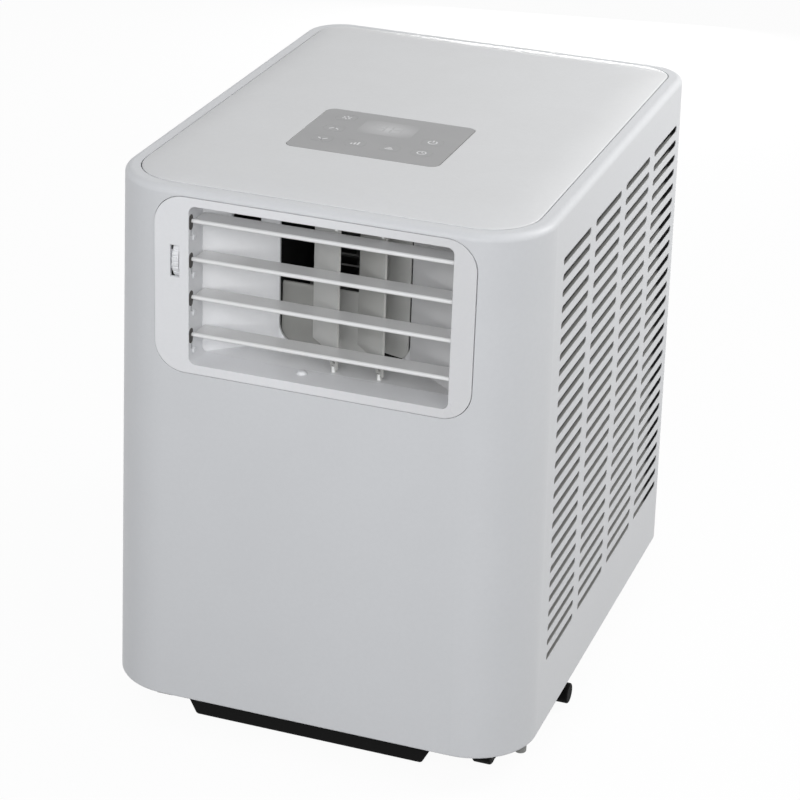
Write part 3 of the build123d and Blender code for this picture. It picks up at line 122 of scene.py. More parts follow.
def split_axes(tree, vector):
    node = tree.nodes.new("ShaderNodeSeparateXYZ")
    tree.links.new(vector, node.inputs[0])
    return node.outputs


def make_mould_grain():
    """Fine spark-eroded grain of a moulding, with slow patches of shine and tone."""
    tree, ins, outs = shader_group(
        "mould_grain",
        [("Grain Scale", 1400.0), ("Patch Scale", 14.0)],
        [("Height", "NodeSocketFloat"), ("Patch", "NodeSocketFloat"), ("Speck", "NodeSocketFloat")],
    )
    place = object_place(tree)
    pebble = tree.nodes.new("ShaderNodeTexVoronoi")
    pebble.feature = "SMOOTH_F1"
    pebble.inputs["Smoothness"].default_value = 0.6
    tree.links.new(place, pebble.inputs["Vector"])
    tree.links.new(ins.outputs["Grain Scale"], pebble.inputs["Scale"])
    fine = noise_node(tree, place, ins.outputs["Grain Scale"], 3.0, 0.6)
    height = math_node(tree, "MULTIPLY_ADD", pebble.outputs["Distance"], 0.7)
    tree.links.new(fine, height.node.inputs[2])
    patch = noise_node(tree, place, ins.outputs["Patch Scale"], 3.0, 0.55)
    speck_scale = math_node(tree, "MULTIPLY", ins.outputs["Grain Scale"], 0.22)
    speck = range_node(tree, noise_node(tree, place, speck_scale, 1.0, 0.4), 0.3, 0.7)
    tree.links.new(height, outs.inputs["Height"])
    tree.links.new(patch, outs.inputs["Patch"])
    tree.links.new(speck, outs.inputs["Speck"])
    return tree


def make_edge_rub():
    """Softened edges: a rounded normal, and a mask where handling has polished the edge."""
    tree, ins, outs = shader_group(
        "edge_rub",
        [("Amount", 1.0)],
        [("Mask", "NodeSocketFloat"), ("Normal", "NodeSocketVector")],
    )
    place = object_place(tree)
    bevel = tree.nodes.new("ShaderNodeBevel")
    bevel.samples = 4
    bevel.inputs["Radius"].default_value = 0.7 * MM
    dot = tree.nodes.new("ShaderNodeVectorMath")
    dot.operation = "DOT_PRODUCT"
    tree.links.new(bevel.outputs["Normal"], dot.inputs[0])
    tree.links.new(face_normal(tree), dot.inputs[1])
    turned = range_node(tree, dot.outputs["Value"], 0.995, 0.80)
    patchy = range_node(tree, noise_node(tree, place, 160.0, 3.0, 0.6), 0.35, 0.65, 0.25, 1.0)
    mask = math_node(tree, "MULTIPLY", turned, patchy)
    mask = math_node(tree, "MULTIPLY", mask, ins.outputs["Amount"], clamp=True)
    tree.links.new(mask, outs.inputs["Mask"])
    tree.links.new(bevel.outputs["Normal"], outs.inputs["Normal"])
    return tree


def make_settled_dust():
    """Thin dust that lies in clouds on faces that look up."""
    tree, ins, outs = shader_group(
        "settled_dust", [("Amount", 0.1)], [("Mask", "NodeSocketFloat")]
    )
    place = object_place(tree)
    up = range_node(tree, split_axes(tree, face_normal(tree))["Z"], 0.55, 0.98)
    cloud = range_node(tree, noise_node(tree, place, 26.0, 5.0, 0.6), 0.38, 0.72)
    mask = math_node(tree, "MULTIPLY", up, cloud)
    mask = math_node(tree, "MULTIPLY", mask, ins.outputs["Amount"], clamp=True)
    tree.links.new(mask, outs.inputs["Mask"])
    return tree


def make_net_weave():
    """Square net of round threads, running along Y and up the sheet."""
    tree, ins, outs = shader_group(
        "net_weave",
        [("Pitch Scale", 190.0)],
        [("Height", "NodeSocketFloat"), ("Hole", "NodeSocketFloat")],
    )
    place = object_place(tree)
    threads = []
    for direction in ("Y", "Z"):
        wave = tree.nodes.new("ShaderNodeTexWave")
        wave.wave_type = "BANDS"
        wave.bands_direction = direction
        wave.inputs["Distortion"].default_value = 0.0
        tree.links.new(place, wave.inputs["Vector"])
        tree.links.new(ins.outputs["Pitch Scale"], wave.inputs["Scale"])
        threads.append(wave.outputs["Fac"])
    top = math_node(tree, "MAXIMUM", threads[0], threads[1])
    tree.links.new(top, outs.inputs["Height"])
    tree.links.new(range_node(tree, top, 0.62, 0.42), outs.inputs["Hole"])
    return tree


def make_drawn_metal():
    """Streaks of drawn or turned metal, long along X."""
    tree, ins, outs = shader_group(
        "drawn_metal",
        [("Streak Scale", 320.0)],
        [("Streak", "NodeSocketFloat"), ("Stain", "NodeSocketFloat")],
    )
    place = object_place(tree)
    stretch = tree.nodes.new("ShaderNodeMapping")
    stretch.inputs["Scale"].default_value = (0.06, 1.0, 1.0)
    tree.links.new(place, stretch.inputs["Vector"])
    streak = noise_node(tree, stretch.outputs["Vector"], ins.outputs["Streak Scale"], 4.0, 0.65)
    tree.links.new(streak, outs.inputs["Streak"])
    tree.links.new(noise_node(tree, place, 32.0, 4.0, 0.6), outs.inputs["Stain"])
    return tree


def make_slot_shade():
    """Painted shade on what lies behind the side faces of the cabinet: grey in the grille slots, black towards the
    filter grips.
    """
    tree, ins, outs = shader_group(
        "grille_slot_shade", [], [("Mask", "NodeSocketFloat"), ("Rear Shade", "NodeSocketFloat")]
    )
    axes = split_axes(tree, object_place(tree))
    lean = math_node(tree, "MULTIPLY", axes["Z"], SIDE_LEAN)
    out = math_node(tree, "ADD", math_node(tree, "ABSOLUTE", axes["X"]), lean)
    depth = math_node(tree, "SUBTRACT", SIDE_HALF + RIM_TOP * SIDE_LEAN, out)
    mask = range_node(tree, depth, 0.25 * MM, 0.7 * MM)
    for axis, first, full in SLOT_LIMITS:
        mask = math_node(tree, "MULTIPLY", mask, range_node(tree, axes[axis], first, full))
    rise = math_node(tree, "MAXIMUM", math_node(tree, "SUBTRACT", axes["Z"], REAR_SHADE_BEND), 0.0)
    edge = math_node(tree, "SUBTRACT", axes["Y"], math_node(tree, "MULTIPLY", rise, REAR_SHADE_LEAN))
    # painted shade: the slot walls turn black towards the rear, starting further back higher up
    lint = range_node(tree, edge, REAR_SHADE_FROM, REAR_SHADE_FULL)
    tree.links.new(mask, outs.inputs["Mask"])
    tree.links.new(lint, outs.inputs["Rear Shade"])
    return tree


MOULD_GRAIN = make_mould_grain()
SLOT_SHADE_GROUP = make_slot_shade()
EDGE_RUB = make_edge_rub()
SETTLED_DUST = make_settled_dust()
NET_WEAVE = make_net_weave()
DRAWN_METAL = make_drawn_metal()


# ---- finishes

def new_material(name):
    material = bpy.data.materials.new(name)
    material.use_nodes = True
    tree = material.node_tree
    return material, tree, tree.nodes["Principled BSDF"]


def place_group(tree, group, **values):
    node = tree.nodes.new("ShaderNodeGroup")
    node.node_tree = group
    for label, value in values.items():
        node.inputs[label.replace("_", " ")].default_value = value
    return node


def blend_colour(tree, mask, first, second):
    """Mixes two colours, each a tuple or a socket, by a mask."""
    node = tree.nodes.new("ShaderNodeMix")
    node.data_type = "RGBA"
    tree.links.new(mask, node.inputs["Factor"])
    for socket, value in ((node.inputs["A"], first), (node.inputs["B"], second)):
        if isinstance(value, tuple):
            socket.default_value = value
        else:
            tree.links.new(value, socket)
    return node.outputs["Result"]


def shade(colour, factor):
    return tuple(min(1.0, channel * factor) for channel in colour[:3]) + (1.0,)


def bump_node(tree, height, strength, distance, normal=None):
    node = tree.nodes.new("ShaderNodeBump")
    node.inputs["Strength"].default_value = strength
    node.inputs["Distance"].default_value = distance
    tree.links.new(height, node.inputs["Height"])
    if normal is not None:
        tree.links.new(normal, node.inputs["Normal"])
    return node.outputs["Normal"]


def moulded(
    name, colour, rough, grain=1400.0, depth=0.02, rub=0.5, dust=0.06, specular=0.5, slots=False, outlet_shade=0.0, front_highlight=None
):
    """Moulded plastic or rubber with grain, slow patches, rubbed edges and a little dust, and where asked painted
    shade and a painted highlight.

    grain is the scale of the grain and depth its height in millimetres; rub and dust are the strength of the polish
    on edges and of the dust. slots paints shade on the walls of the grille slots. The strength after it paints shade
    that darkens the outlet towards its right, and the last argument is the colour of a painted highlight on faces
    that look to the front.
    """
    material, tree, shader = new_material(name)
    grain_node = place_group(tree, MOULD_GRAIN, Grain_Scale=grain)
    edge = place_group(tree, EDGE_RUB, Amount=rub)
    dusty = place_group(tree, SETTLED_DUST, Amount=dust)
    patch = grain_node.outputs["Patch"]
    tone = blend_colour(tree, patch, shade(colour, 0.97), shade(colour, 1.03))
    speck = math_node(tree, "MULTIPLY", grain_node.outputs["Speck"], 0.25)
    tone = blend_colour(tree, speck, tone, shade(colour, 0.95))
    pale = tuple(0.75 * channel + 0.25 for channel in colour[:3])
    tone = blend_colour(tree, math_node(tree, "MULTIPLY", edge.outputs["Mask"], 0.35), tone, shade(pale, 1.0))
    tone = blend_colour(tree, dusty.outputs["Mask"], tone, DUST)
    # painted highlight: faces that look to the front turn to a paler colour
    if front_highlight:
        ahead = range_node(tree, split_axes(tree, face_normal(tree))["Y"], -0.70, -0.94)
        tone = blend_colour(tree, ahead, tone, shade(front_highlight, 1.0))
    # painted shade on the walls of the grille slots
    if slots:
        behind = place_group(tree, SLOT_SHADE_GROUP)
        grey = blend_colour(tree, behind.outputs["Rear Shade"], SLOT_WALL_SHADE_GREY, REAR_SHADE_BLACK)
        tone = blend_colour(tree, behind.outputs["Mask"], tone, grey)
    # painted shade: the outlet darkens towards its right
    if outlet_shade:
        across = range_node(tree, split_axes(tree, object_place(tree))["X"], -0.02, 0.1)
        right_shade_mask = math_node(tree, "MULTIPLY", across, outlet_shade)
        right_shade_mask = math_node(tree, "MULTIPLY", right_shade_mask, range_node(tree, patch, 0.2, 0.8, 0.85, 1.1))
        tone = blend_colour(tree, right_shade_mask, tone, OUTLET_SHADE_GREY)
    tree.links.new(tone, shader.inputs["Base Color"])
    gloss = range_node(tree, patch, 0.3, 0.7, rough * 0.9, rough * 1.12)
    gloss = math_node(tree, "SUBTRACT", gloss, math_node(tree, "MULTIPLY", edge.outputs["Mask"], 0.12))
    gloss = math_node(tree, "ADD", gloss, math_node(tree, "MULTIPLY", dusty.outputs["Mask"], 0.5), clamp=True)
    tree.links.new(gloss, shader.inputs["Roughness"])
    shader.inputs["Specular IOR Level"].default_value = specular
    normal = bump_node(tree, grain_node.outputs["Height"], 0.35, depth * MM, edge.outputs["Normal"])
    tree.links.new(normal, shader.inputs["Normal"])
    return material


def film(name, colour, rough, glare=None):
    """Smooth printed film or ink. The last argument, a place, scale and colour, paints a reflection: the film turns
    paler towards that place.
    """
    material, tree, shader = new_material(name)
    grain_node = place_group(tree, MOULD_GRAIN, Grain_Scale=2600.0, Patch_Scale=30.0)
    dusty = place_group(tree, SETTLED_DUST, Amount=0.05)
    patch = grain_node.outputs["Patch"]
    tone = blend_colour(tree, patch, shade(colour, 0.96), shade(colour, 1.04))
    if glare:
        middle, scale, pale_tint = glare
        move = tree.nodes.new("ShaderNodeMapping")
        move.inputs["Scale"].default_value = scale
        move.inputs["Location"].default_value = tuple(-k * c for k, c in zip(scale, middle))
        tree.links.new(object_place(tree), move.inputs["Vector"])
        ball = tree.nodes.new("ShaderNodeTexGradient")
        ball.gradient_type = "SPHERICAL"
        tree.links.new(move.outputs["Vector"], ball.inputs["Vector"])
        cloud = math_node(tree, "MULTIPLY", ball.outputs["Fac"], patch)
        tone = blend_colour(tree, math_node(tree, "MULTIPLY", cloud, 1.7, clamp=True), tone, pale_tint)
    tone = blend_colour(tree, dusty.outputs["Mask"], tone, DUST)
    tree.links.new(tone, shader.inputs["Base Color"])
    gloss = range_node(tree, patch, 0.3, 0.7, rough * 0.88, rough * 1.12)
    tree.links.new(gloss, shader.inputs["Roughness"])
    tree.links.new(bump_node(tree, grain_node.outputs["Height"], 0.3, 0.006 * MM), shader.inputs["Normal"])
    return material


def metal(name, colour, rough, stain=0.2):
    """Bare metal with drawn streaks, patchy tarnish and brighter edges."""
    material, tree, shader = new_material(name)
    drawn = place_group(tree, DRAWN_METAL)
    edge = place_group(tree, EDGE_RUB, Amount=1.0)
    tone = blend_colour(tree, drawn.outputs["Streak"], shade(colour, 0.86), shade(colour, 1.12))
    dull = math_node(tree, "MULTIPLY", range_node(tree, drawn.outputs["Stain"], 0.45, 0.75), stain)
    tone = blend_colour(tree, dull, tone, shade(colour, 0.55))
    tone = blend_colour(tree, math_node(tree, "MULTIPLY", edge.outputs["Mask"], 0.4), tone, shade(colour, 1.25))
    tree.links.new(tone, shader.inputs["Base Color"])
    gloss = range_node(tree, drawn.outputs["Streak"], 0.25, 0.75, rough * 0.8, rough * 1.25)
    gloss = math_node(tree, "ADD", gloss, math_node(tree, "MULTIPLY", dull, 0.4), clamp=True)
    tree.links.new(gloss, shader.inputs["Roughness"])
    shader.inputs["Metallic"].default_value = 1.0
    normal = bump_node(tree, drawn.outputs["Streak"], 0.2, 0.02 * MM, edge.outputs["Normal"])
    tree.links.new(normal, shader.inputs["Normal"])
    return material


def filter_net(name, thread, hole):
    """Woven dust net: pale threads over gaps painted dark as painted shade of the inside seen through them, with lint
    caught in clouds.
    """
    material, tree, shader = new_material(name)
    weave = place_group(tree, NET_WEAVE)
    grain_node = place_group(tree, MOULD_GRAIN, Grain_Scale=900.0, Patch_Scale=22.0)
    tone = blend_colour(tree, weave.outputs["Hole"], thread, hole)
    lint = math_node(tree, "MULTIPLY", range_node(tree, grain_node.outputs["Patch"], 0.5, 0.8), 0.3)
    tone = blend_colour(tree, lint, tone, NET_LINT)
    tree.links.new(tone, shader.inputs["Base Color"])
    gloss = range_node(tree, grain_node.outputs["Patch"], 0.3, 0.7, 0.62, 0.82)
    tree.links.new(gloss, shader.inputs["Roughness"])
    shader.inputs["Sheen Weight"].default_value = 0.15
    tree.links.new(bump_node(tree, weave.outputs["Height"], 0.8, 0.25 * MM), shader.inputs["Normal"])
    return material


def fin_block(name, colour):
    """Stacked thin fins, seen edge on as fine upright lines, with painted shade in the gaps between the fins."""
    material, tree, shader = new_material(name)
    fins = tree.nodes.new("ShaderNodeTexWave")
    fins.wave_type = "BANDS"
    fins.bands_direction = "Y"
    fins.inputs["Scale"].default_value = 170.0
    fins.inputs["Distortion"].default_value = 0.6
    fins.inputs["Detail"].default_value = 1.0
    tree.links.new(object_place(tree), fins.inputs["Vector"])
    drawn = place_group(tree, DRAWN_METAL)
    stain = drawn.outputs["Stain"]
    # painted shade: the gaps between the fins are dark
    tone = blend_colour(tree, fins.outputs["Fac"], shade(colour, 0.35), shade(colour, 1.05))
    tone = blend_colour(tree, math_node(tree, "MULTIPLY", stain, 0.2), tone, shade(colour, 0.6))
    tree.links.new(tone, shader.inputs["Base Color"])
    tree.links.new(range_node(tree, stain, 0.3, 0.7, 0.3, 0.5), shader.inputs["Roughness"])
    shader.inputs["Metallic"].default_value = 1.0
    tree.links.new(bump_node(tree, fins.outputs["Fac"], 0.7, 0.6 * MM), shader.inputs["Normal"])
    return material


WHITE_SHELL = (0.74, 0.75, 0.77)
POLISHED = {"grain": 2200.0, "depth": 0.008, "rub": 0.4}  # finer mould surface of the outlet pieces
# painted reflection: a pale glare in the middle of the display window
DISPLAY_GLARE = (DISPLAY_MIDDLE + (LID_TOP,), (37.0, 51.8, 37.0), (0.60, 0.60, 0.61, 1.0))

# the shell gets painted shade on the walls of its grille slots
SHELL_WHITE = moulded("shell_white", WHITE_SHELL, 0.42, dust=0.03, specular=0.35, slots=True)
COVER_WHITE = moulded("cover_white", WHITE_SHELL, 0.42, dust=0.03, specular=0.35)
LID_WHITE = moulded("lid_white", (0.76, 0.765, 0.775), 0.40, depth=0.015, dust=0.04, specular=0.28)
# both outlet finishes get painted shade that darkens them towards the right of the outlet
VENT_WHITE = moulded("vent_white", (0.89, 0.895, 0.915), 0.30, dust=0.03, outlet_shade=0.22, **POLISHED)
DUCT_WHITE = moulded("duct_white", (0.90, 0.905, 0.92), 0.34, dust=0.05, outlet_shade=0.65, **POLISHED)
# the louvres get a painted highlight on faces that look to the front
LOUVRE_WHITE = moulded(
    "louvre_white", (0.80, 0.80, 0.80), 0.20, grain=2200.0, depth=0.006, rub=0.4, dust=0.04, front_highlight=(0.92, 0.92, 0.925)
)
# the vanes are white plastic painted mid grey as painted shade, with a painted highlight on faces that look to the
# front
VANE_SHADE_GREY = moulded(
    "vane_shade_grey", (0.50, 0.50, 0.48), 0.32, grain=2200.0, depth=0.008, rub=0.3, dust=0.03, front_highlight=(0.92, 0.92, 0.91)
)
PANEL_GREY = film("panel_grey", (0.35, 0.35, 0.355), 0.42)
DISPLAY_GREY = film("display_grey", (0.352, 0.352, 0.357), 0.40, DISPLAY_GLARE)
ICON_PALE = film("icon_pale", (0.76, 0.76, 0.77), 0.5)
SEGMENT_GREY = film("segment_grey", (0.46, 0.46, 0.465), 0.4)
BLACK_PLASTIC = moulded(
    "black_plastic", (0.006, 0.006, 0.006), 0.5, grain=1200.0, depth=0.03, rub=0.2, dust=0.03, specular=0.07
)
BLACK_RUBBER = moulded(
    "black_rubber", (0.005, 0.005, 0.005), 0.66, grain=800.0, depth=0.05, rub=0.2, dust=0.03, specular=0.06
)
# painted shade: dark pads where the pivot slots of the louvres lie in shadow
PIVOT_SHADE_GREY = moulded(
    "pivot_shade_grey", (0.10, 0.095, 0.09), 0.6, grain=800.0, depth=0.05, rub=0.3, dust=0.05, specular=0.2
)
PAD_GREY = moulded("pad_grey", (0.28, 0.28, 0.27), 0.45, rub=0.3)
BASE_GREY = moulded("base_grey", (0.11, 0.11, 0.115), 0.5, depth=0.03, rub=0.4, dust=0.1)
HOUSING_DARK = moulded("housing_dark", (0.010, 0.010, 0.010), 0.6, depth=0.03, rub=0.1, dust=0.02, specular=0.2)
# the cut-off plate and the cheek are white plastic painted grey as painted shade, darker on the left length of the
# plate
CUTOFF_SHADE_GREY = moulded("cutoff_shade_grey", (0.30, 0.30, 0.285), 0.45, rub=0.2, dust=0.05)
CHEEK_SHADE_GREY = moulded("cheek_shade_grey", (0.62, 0.62, 0.60), 0.45, rub=0.2, dust=0.03)
FAN_GREY = moulded("fan_grey", (0.14, 0.14, 0.135), 0.5, dust=0.12)
BOX_GREY = moulded("box_grey", (0.48, 0.48, 0.47), 0.5, rub=0.4, dust=0.1)
BOARD_GREEN = moulded("board_green", (0.02, 0.09, 0.04), 0.35, grain=2600.0, rub=0.2)
FILTER_WHITE = moulded("filter_white", (0.70, 0.70, 0.69), 0.45, rub=0.4)
COMPRESSOR_BLACK = moulded(
    "compressor_black", (0.02, 0.02, 0.02), 0.32, grain=500.0, depth=0.05, rub=0.8, dust=0.15
)
# the gaps of the net carry painted shade
NET_GREY = filter_net("net_grey", (0.26, 0.26, 0.25, 1.0), (0.07, 0.07, 0.07, 1.0))
ZINC = metal("zinc_plate", (0.60, 0.60, 0.58), 0.32)
COPPER = metal("copper_tube", (0.72, 0.40, 0.26), 0.28, stain=0.5)
FINS = fin_block("coil_fins", (0.76, 0.77, 0.78))

CORNERS = ["front_left", "front_right", "rear_left", "rear_right"]
KEYS = range(1, 8)

FINISHES = {
    SHELL_WHITE: ["shell"],
    COVER_WHITE: ["rear_cover"],
    LID_WHITE: ["top_lid"],
    DUCT_WHITE: ["outlet_duct"],
    VENT_WHITE: ["vent_frame", "louvre_link", "louvre_thumbwheel", "vane_link"],
    LOUVRE_WHITE: ["louvre_1", "louvre_2", "louvre_3", "louvre_4"],
    VANE_SHADE_GREY: ["vane_left", "vane_right"],
    PANEL_GREY: ["panel_overlay"] + [f"key_{number}" for number in KEYS],
    DISPLAY_GREY: ["display_window"],
    BLACK_PLASTIC: [
        "front_skid", "filter_grip_right", "filter_grip_left", "filter_rails", "lower_housing", "exhaust_collar",
    ] + [f"castor_{corner}" for corner in CORNERS],
    BLACK_RUBBER: ["drain_plug", "cord_gland", "compressor_feet"] + [f"wheel_{corner}" for corner in CORNERS],
    PAD_GREY: ["corner_pads"],
    BASE_GREY: ["base_pan", "drip_tray"],
    HOUSING_DARK: ["upper_housing"],
    FAN_GREY: ["upper_fan", "lower_fan"],
    ZINC: ["rear_screws", "upper_motor", "lower_motor"],
    FINS: ["evaporator", "condenser"],
    COMPRESSOR_BLACK: ["compressor", "suction_tank"],
    COPPER: ["refrigerant_pipes"],
    BOX_GREY: ["control_box"],
    BOARD_GREEN: ["control_board"],
    FILTER_WHITE: ["filter_frame_right", "filter_frame_left"],
    NET_GREY: ["filter_net_right", "filter_net_left"],
}
for finish, names in FINISHES.items():
    for node_name in names:
        slots = nodes[node_name].data.materials
        slots.clear()
        slots.append(finish)


# ---- new pieces

SHARP_ANGLE = math.radians(32)


def add_piece(name, bm, material, body, smooth=True):
    """Turns a bmesh into a finished piece that rides on a body."""
    mesh = bpy.data.meshes.new(name)
    for face in bm.faces:
        face.smooth = smooth
    bm.to_mesh(mesh)
    bm.free()
    mesh.materials.append(material)
    piece = bpy.data.objects.new(name, mesh)
    bpy.context.scene.collection.objects.link(piece)
    if smooth:
        mesh.set_sharp_from_angle(angle=SHARP_ANGLE)
    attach(piece, body)
    return piece


def rounded_ring(bm, low, high, front_r, rear_r, z, segments):
    """Edges of a rounded rectangle at height z, wound the same way each time."""
    corners = [(low[0], low[1]), (high[0], low[1]), (high[0], high[1]), (low[0], high[1])]
    older = set(bm.faces)
    verts = [bm.verts.new((x, y, z)) for x, y in corners]
    bm.faces.new(verts)
    for pair, radius in ((verts[:2], front_r), (verts[2:], rear_r)):
        bmesh.ops.bevel(
            bm, geom=pair, offset=radius, offset_type="OFFSET", affect="VERTICES",
            segments=segments, profile=0.5, material=-1, clamp_overlap=False,
        )
    face = next(f for f in bm.faces if f not in older)
    ring = list(face.edges)
    bmesh.ops.delete(bm, geom=[face], context="FACES_ONLY")
    return ring


def bridge_rings(bm, rings):
    """Joins each ring of edges to the next one, and the last to the first."""
    for first, second in zip(rings, rings[1:] + rings[:1]):
        bmesh.ops.bridge_loops(bm, edges=first + second)
    bmesh.ops.recalc_face_normals(bm, faces=bm.faces)


def grow_solid(bm, faces, way):
    """Draws flat faces out by a vector into closed solids."""
    grown = bmesh.ops.extrude_face_region(bm, geom=faces, use_keep_orig=True)
    moved = [v for v in grown["geom"] if isinstance(v, bmesh.types.BMVert)]
    bmesh.ops.translate(bm, verts=moved, vec=way)
    bmesh.ops.recalc_face_normals(bm, faces=bm.faces)


# Lid: one pillow-shaped skin with the recess for the control panel.
# No two neighbouring rings lie at the same height, so that each pair is joined the right way round.
GROOVE = 0.0118  # from the side of the cabinet to the lid
LID_SIDE = SIDE_HALF - GROOVE
LID_FRONT = -HALF_DEPTH + GROOVE
LID_REAR = HALF_DEPTH - GROOVE
LID_CORNER_FRONT = 0.0382
LID_CORNER_REAR = 0.0202
LID_SEGMENTS = 10
PANEL_LOW = (-0.0634, -0.1094)
PANEL_HIGH = (0.0534, -0.0166)
PANEL_CORNER = 0.0074
PANEL_LEDGE = 0.0044
PILLOW_MM = [  # inset from the groove, height over the rim
    (0.0, -3.5), (0.0, 0.05), (0.25, 0.45), (0.8, 0.75), (2.0, 1.2), (4.0, 1.85), (7.0, 2.7), (10.0, 3.4),
    (14.0, 4.05), (18.0, 4.5), (22.0, 4.8), (26.0, 4.95), (30.0, 4.985), (33.0, 4.99),
]
RECESS = [  # inset from the edge of the panel, height
    (-0.0012, LID_TOP - 0.005 * MM), (-0.0002, LID_TOP), (0.0, LID_TOP - 0.0002), (0.0, LID_TOP - 0.0016),
    (PANEL_LEDGE, LID_TOP - 0.00162), (PANEL_LEDGE, RIM_TOP - 0.0014),
]
UNDERSIDE = [(0.003, RIM_TOP - 0.00142), (0.003, RIM_TOP - 0.00348)]  # inset from the groove, height


def lid_ring(bm, inset, z):
    soft = 0.54 * inset  # the corners grow rounder towards the middle
    return rounded_ring(
        bm, (inset - LID_SIDE, LID_FRONT + inset), (LID_SIDE - inset, LID_REAR - inset),
        LID_CORNER_FRONT + soft, LID_CORNER_REAR + soft, z, LID_SEGMENTS,
    )


def panel_ring(bm, inset, z):
    return rounded_ring(
        bm, (PANEL_LOW[0] + inset, PANEL_LOW[1] + inset), (PANEL_HIGH[0] - inset, PANEL_HIGH[1] - inset),
        PANEL_CORNER, PANEL_CORNER, z, LID_SEGMENTS,
    )


def build_lid():
    bm = bmesh.new()
    rings = [lid_ring(bm, inset * MM, RIM_TOP + up * MM) for inset, up in PILLOW_MM]
    rings += [panel_ring(bm, inset, z) for inset, z in RECESS]
    rings += [lid_ring(bm, inset, z) for inset, z in UNDERSIDE]
    bridge_rings(bm, rings)
    lid = add_piece("lid_pillow", bm, LID_WHITE, "cabinet")
    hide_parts("top_lid")


# Printed signs on the keys: thin raised ink, one piece for each key
INK_THICKNESS = 0.1 * MM
INK_UP = 0.02 * MM
SIGN_SIZE = 1.45
KEY_SPOTS_MM = [
    (-43.0, -33.0), (-43.0, -59.5), (-43.0, -84.0), (-17.5, -84.0), (8.5, -84.0), (33.0, -84.0), (33.0, -59.5),
]


def flat_bar(bm, start, end, width):
    """A flat straight bar with round ends, in millimetres. Returns its points."""
    older = set(bm.verts)
    along = Vector((end[0] - start[0], end[1] - start[1], 0))
    turn = Matrix.Rotation(math.atan2(along.y, along.x), 4, "Z")
    middle = Vector(((start[0] + end[0]) / 2, (start[1] + end[1]) / 2, 0))
    made = bmesh.ops.create_grid(bm, x_segments=1, y_segments=1, size=0.5)
    bmesh.ops.scale(bm, verts=made["verts"], vec=(along.length + width, width, 1))
    bmesh.ops.bevel(
        bm, geom=made["verts"], offset=width * 0.45, offset_type="OFFSET", affect="VERTICES",
        segments=3, profile=0.5, material=-1,
    )
    fresh = [v for v in bm.verts if v not in older]
    bmesh.ops.transform(bm, matrix=Matrix.Translation(middle) @ turn, verts=fresh)
    return fresh


def flat_arc(bm, radius, width, start, sweep, steps, centre=(0, 0)):
    """A flat arc in millimetres and degrees, or a full ring where the sweep is 360."""
    older = set(bm.verts)
    begin = Matrix.Rotation(math.radians(start), 4, "Z")
    inner = bm.verts.new(begin @ Vector((radius - width / 2, 0, 0)))
    outer = bm.verts.new(begin @ Vector((radius + width / 2, 0, 0)))
    edge = bm.edges.new((inner, outer))
    full = abs(sweep) >= 360
    bmesh.ops.spin(
        bm, geom=[edge, inner, outer], cent=(0, 0, 0), axis=(0, 0, 1), angle=math.radians(sweep),
        steps=steps, use_merge=full,
    )
    fresh = [v for v in bm.verts if v not in older]
    bmesh.ops.translate(bm, verts=fresh, vec=(centre[0], centre[1], 0))


def thicken_ink(bm):
    """Gives flat ink its thickness, down into the face that it is printed on."""
    grow_solid(bm, bm.faces[:], (0, 0, -INK_THICKNESS))


def sign_mode(bm):
    for angle in (90, 30, 150):
        tip = (2.3 * math.cos(math.radians(angle)), 2.3 * math.sin(math.radians(angle)))
        flat_bar(bm, (-tip[0], -tip[1]), tip, 0.75)


def sign_up(bm):
    flat_bar(bm, (-2.2, -0.9), (0, 1.3), 0.95)
    flat_bar(bm, (0, 1.3), (2.2, -0.9), 0.95)


def sign_down(bm):
    flat_bar(bm, (-2.2, 0.9), (0, -1.3), 0.95)
    flat_bar(bm, (0, -1.3), (2.2, 0.9), 0.95)


def sign_speed(bm):
    for step in range(3):
        x = 1.7 * (step - 1)
        flat_bar(bm, (x, -1.6), (x, -0.6 + 1.1 * step), 1.0)


def sign_swing(bm):
    for step in range(3):
        flat_arc(bm, 1.4 + 1.2 * step, 0.7, 235, 70, 8, (0, 2.2))


def sign_timer(bm):
    flat_arc(bm, 2.2, 0.7, 0, 360, 28)
    flat_bar(bm, (0, 0), (0, 1.3), 0.6)
    flat_bar(bm, (0, 0), (0.95, -0.3), 0.6)


def sign_power(bm):
    flat_arc(bm, 2.2, 0.75, 125, 290, 24)
    flat_bar(bm, (0, 0.7), (0, 2.7), 0.75)


SIGNS = [sign_mode, sign_up, sign_down, sign_speed, sign_swing, sign_timer, sign_power]


def build_signs():
    for number, draw, spot in zip(KEYS, SIGNS, KEY_SPOTS_MM):
        bm = bmesh.new()
        draw(bm)
        bmesh.ops.scale(bm, verts=bm.verts, vec=(SIGN_SIZE * MM, SIGN_SIZE * MM, MM))
        bmesh.ops.translate(bm, verts=bm.verts, vec=(spot[0] * MM, spot[1] * MM, LID_TOP + INK_UP))
        thicken_ink(bm)
        add_piece(f"sign_key_{number}", bm, ICON_PALE, f"key_{number}", smooth=False)


# Soft web of the overlay film in the gap round each key
KEY_HALF = (7.5 * MM, 6.0 * MM)
KEY_CORNER = 3.0 * MM
WEB_SEGMENTS = 6
WEB_IN = 0.05 * MM
WEB_OUT = 0.36 * MM
WEB = [  # distance from the key, height
    (WEB_IN, LID_TOP - 0.5 * MM), (WEB_IN, LID_TOP - 0.1 * MM), (WEB_IN + 0.08 * MM, LID_TOP - 0.03 * MM),
    (WEB_OUT, LID_TOP - 0.06 * MM), (WEB_OUT, LID_TOP - 0.56 * MM),
]


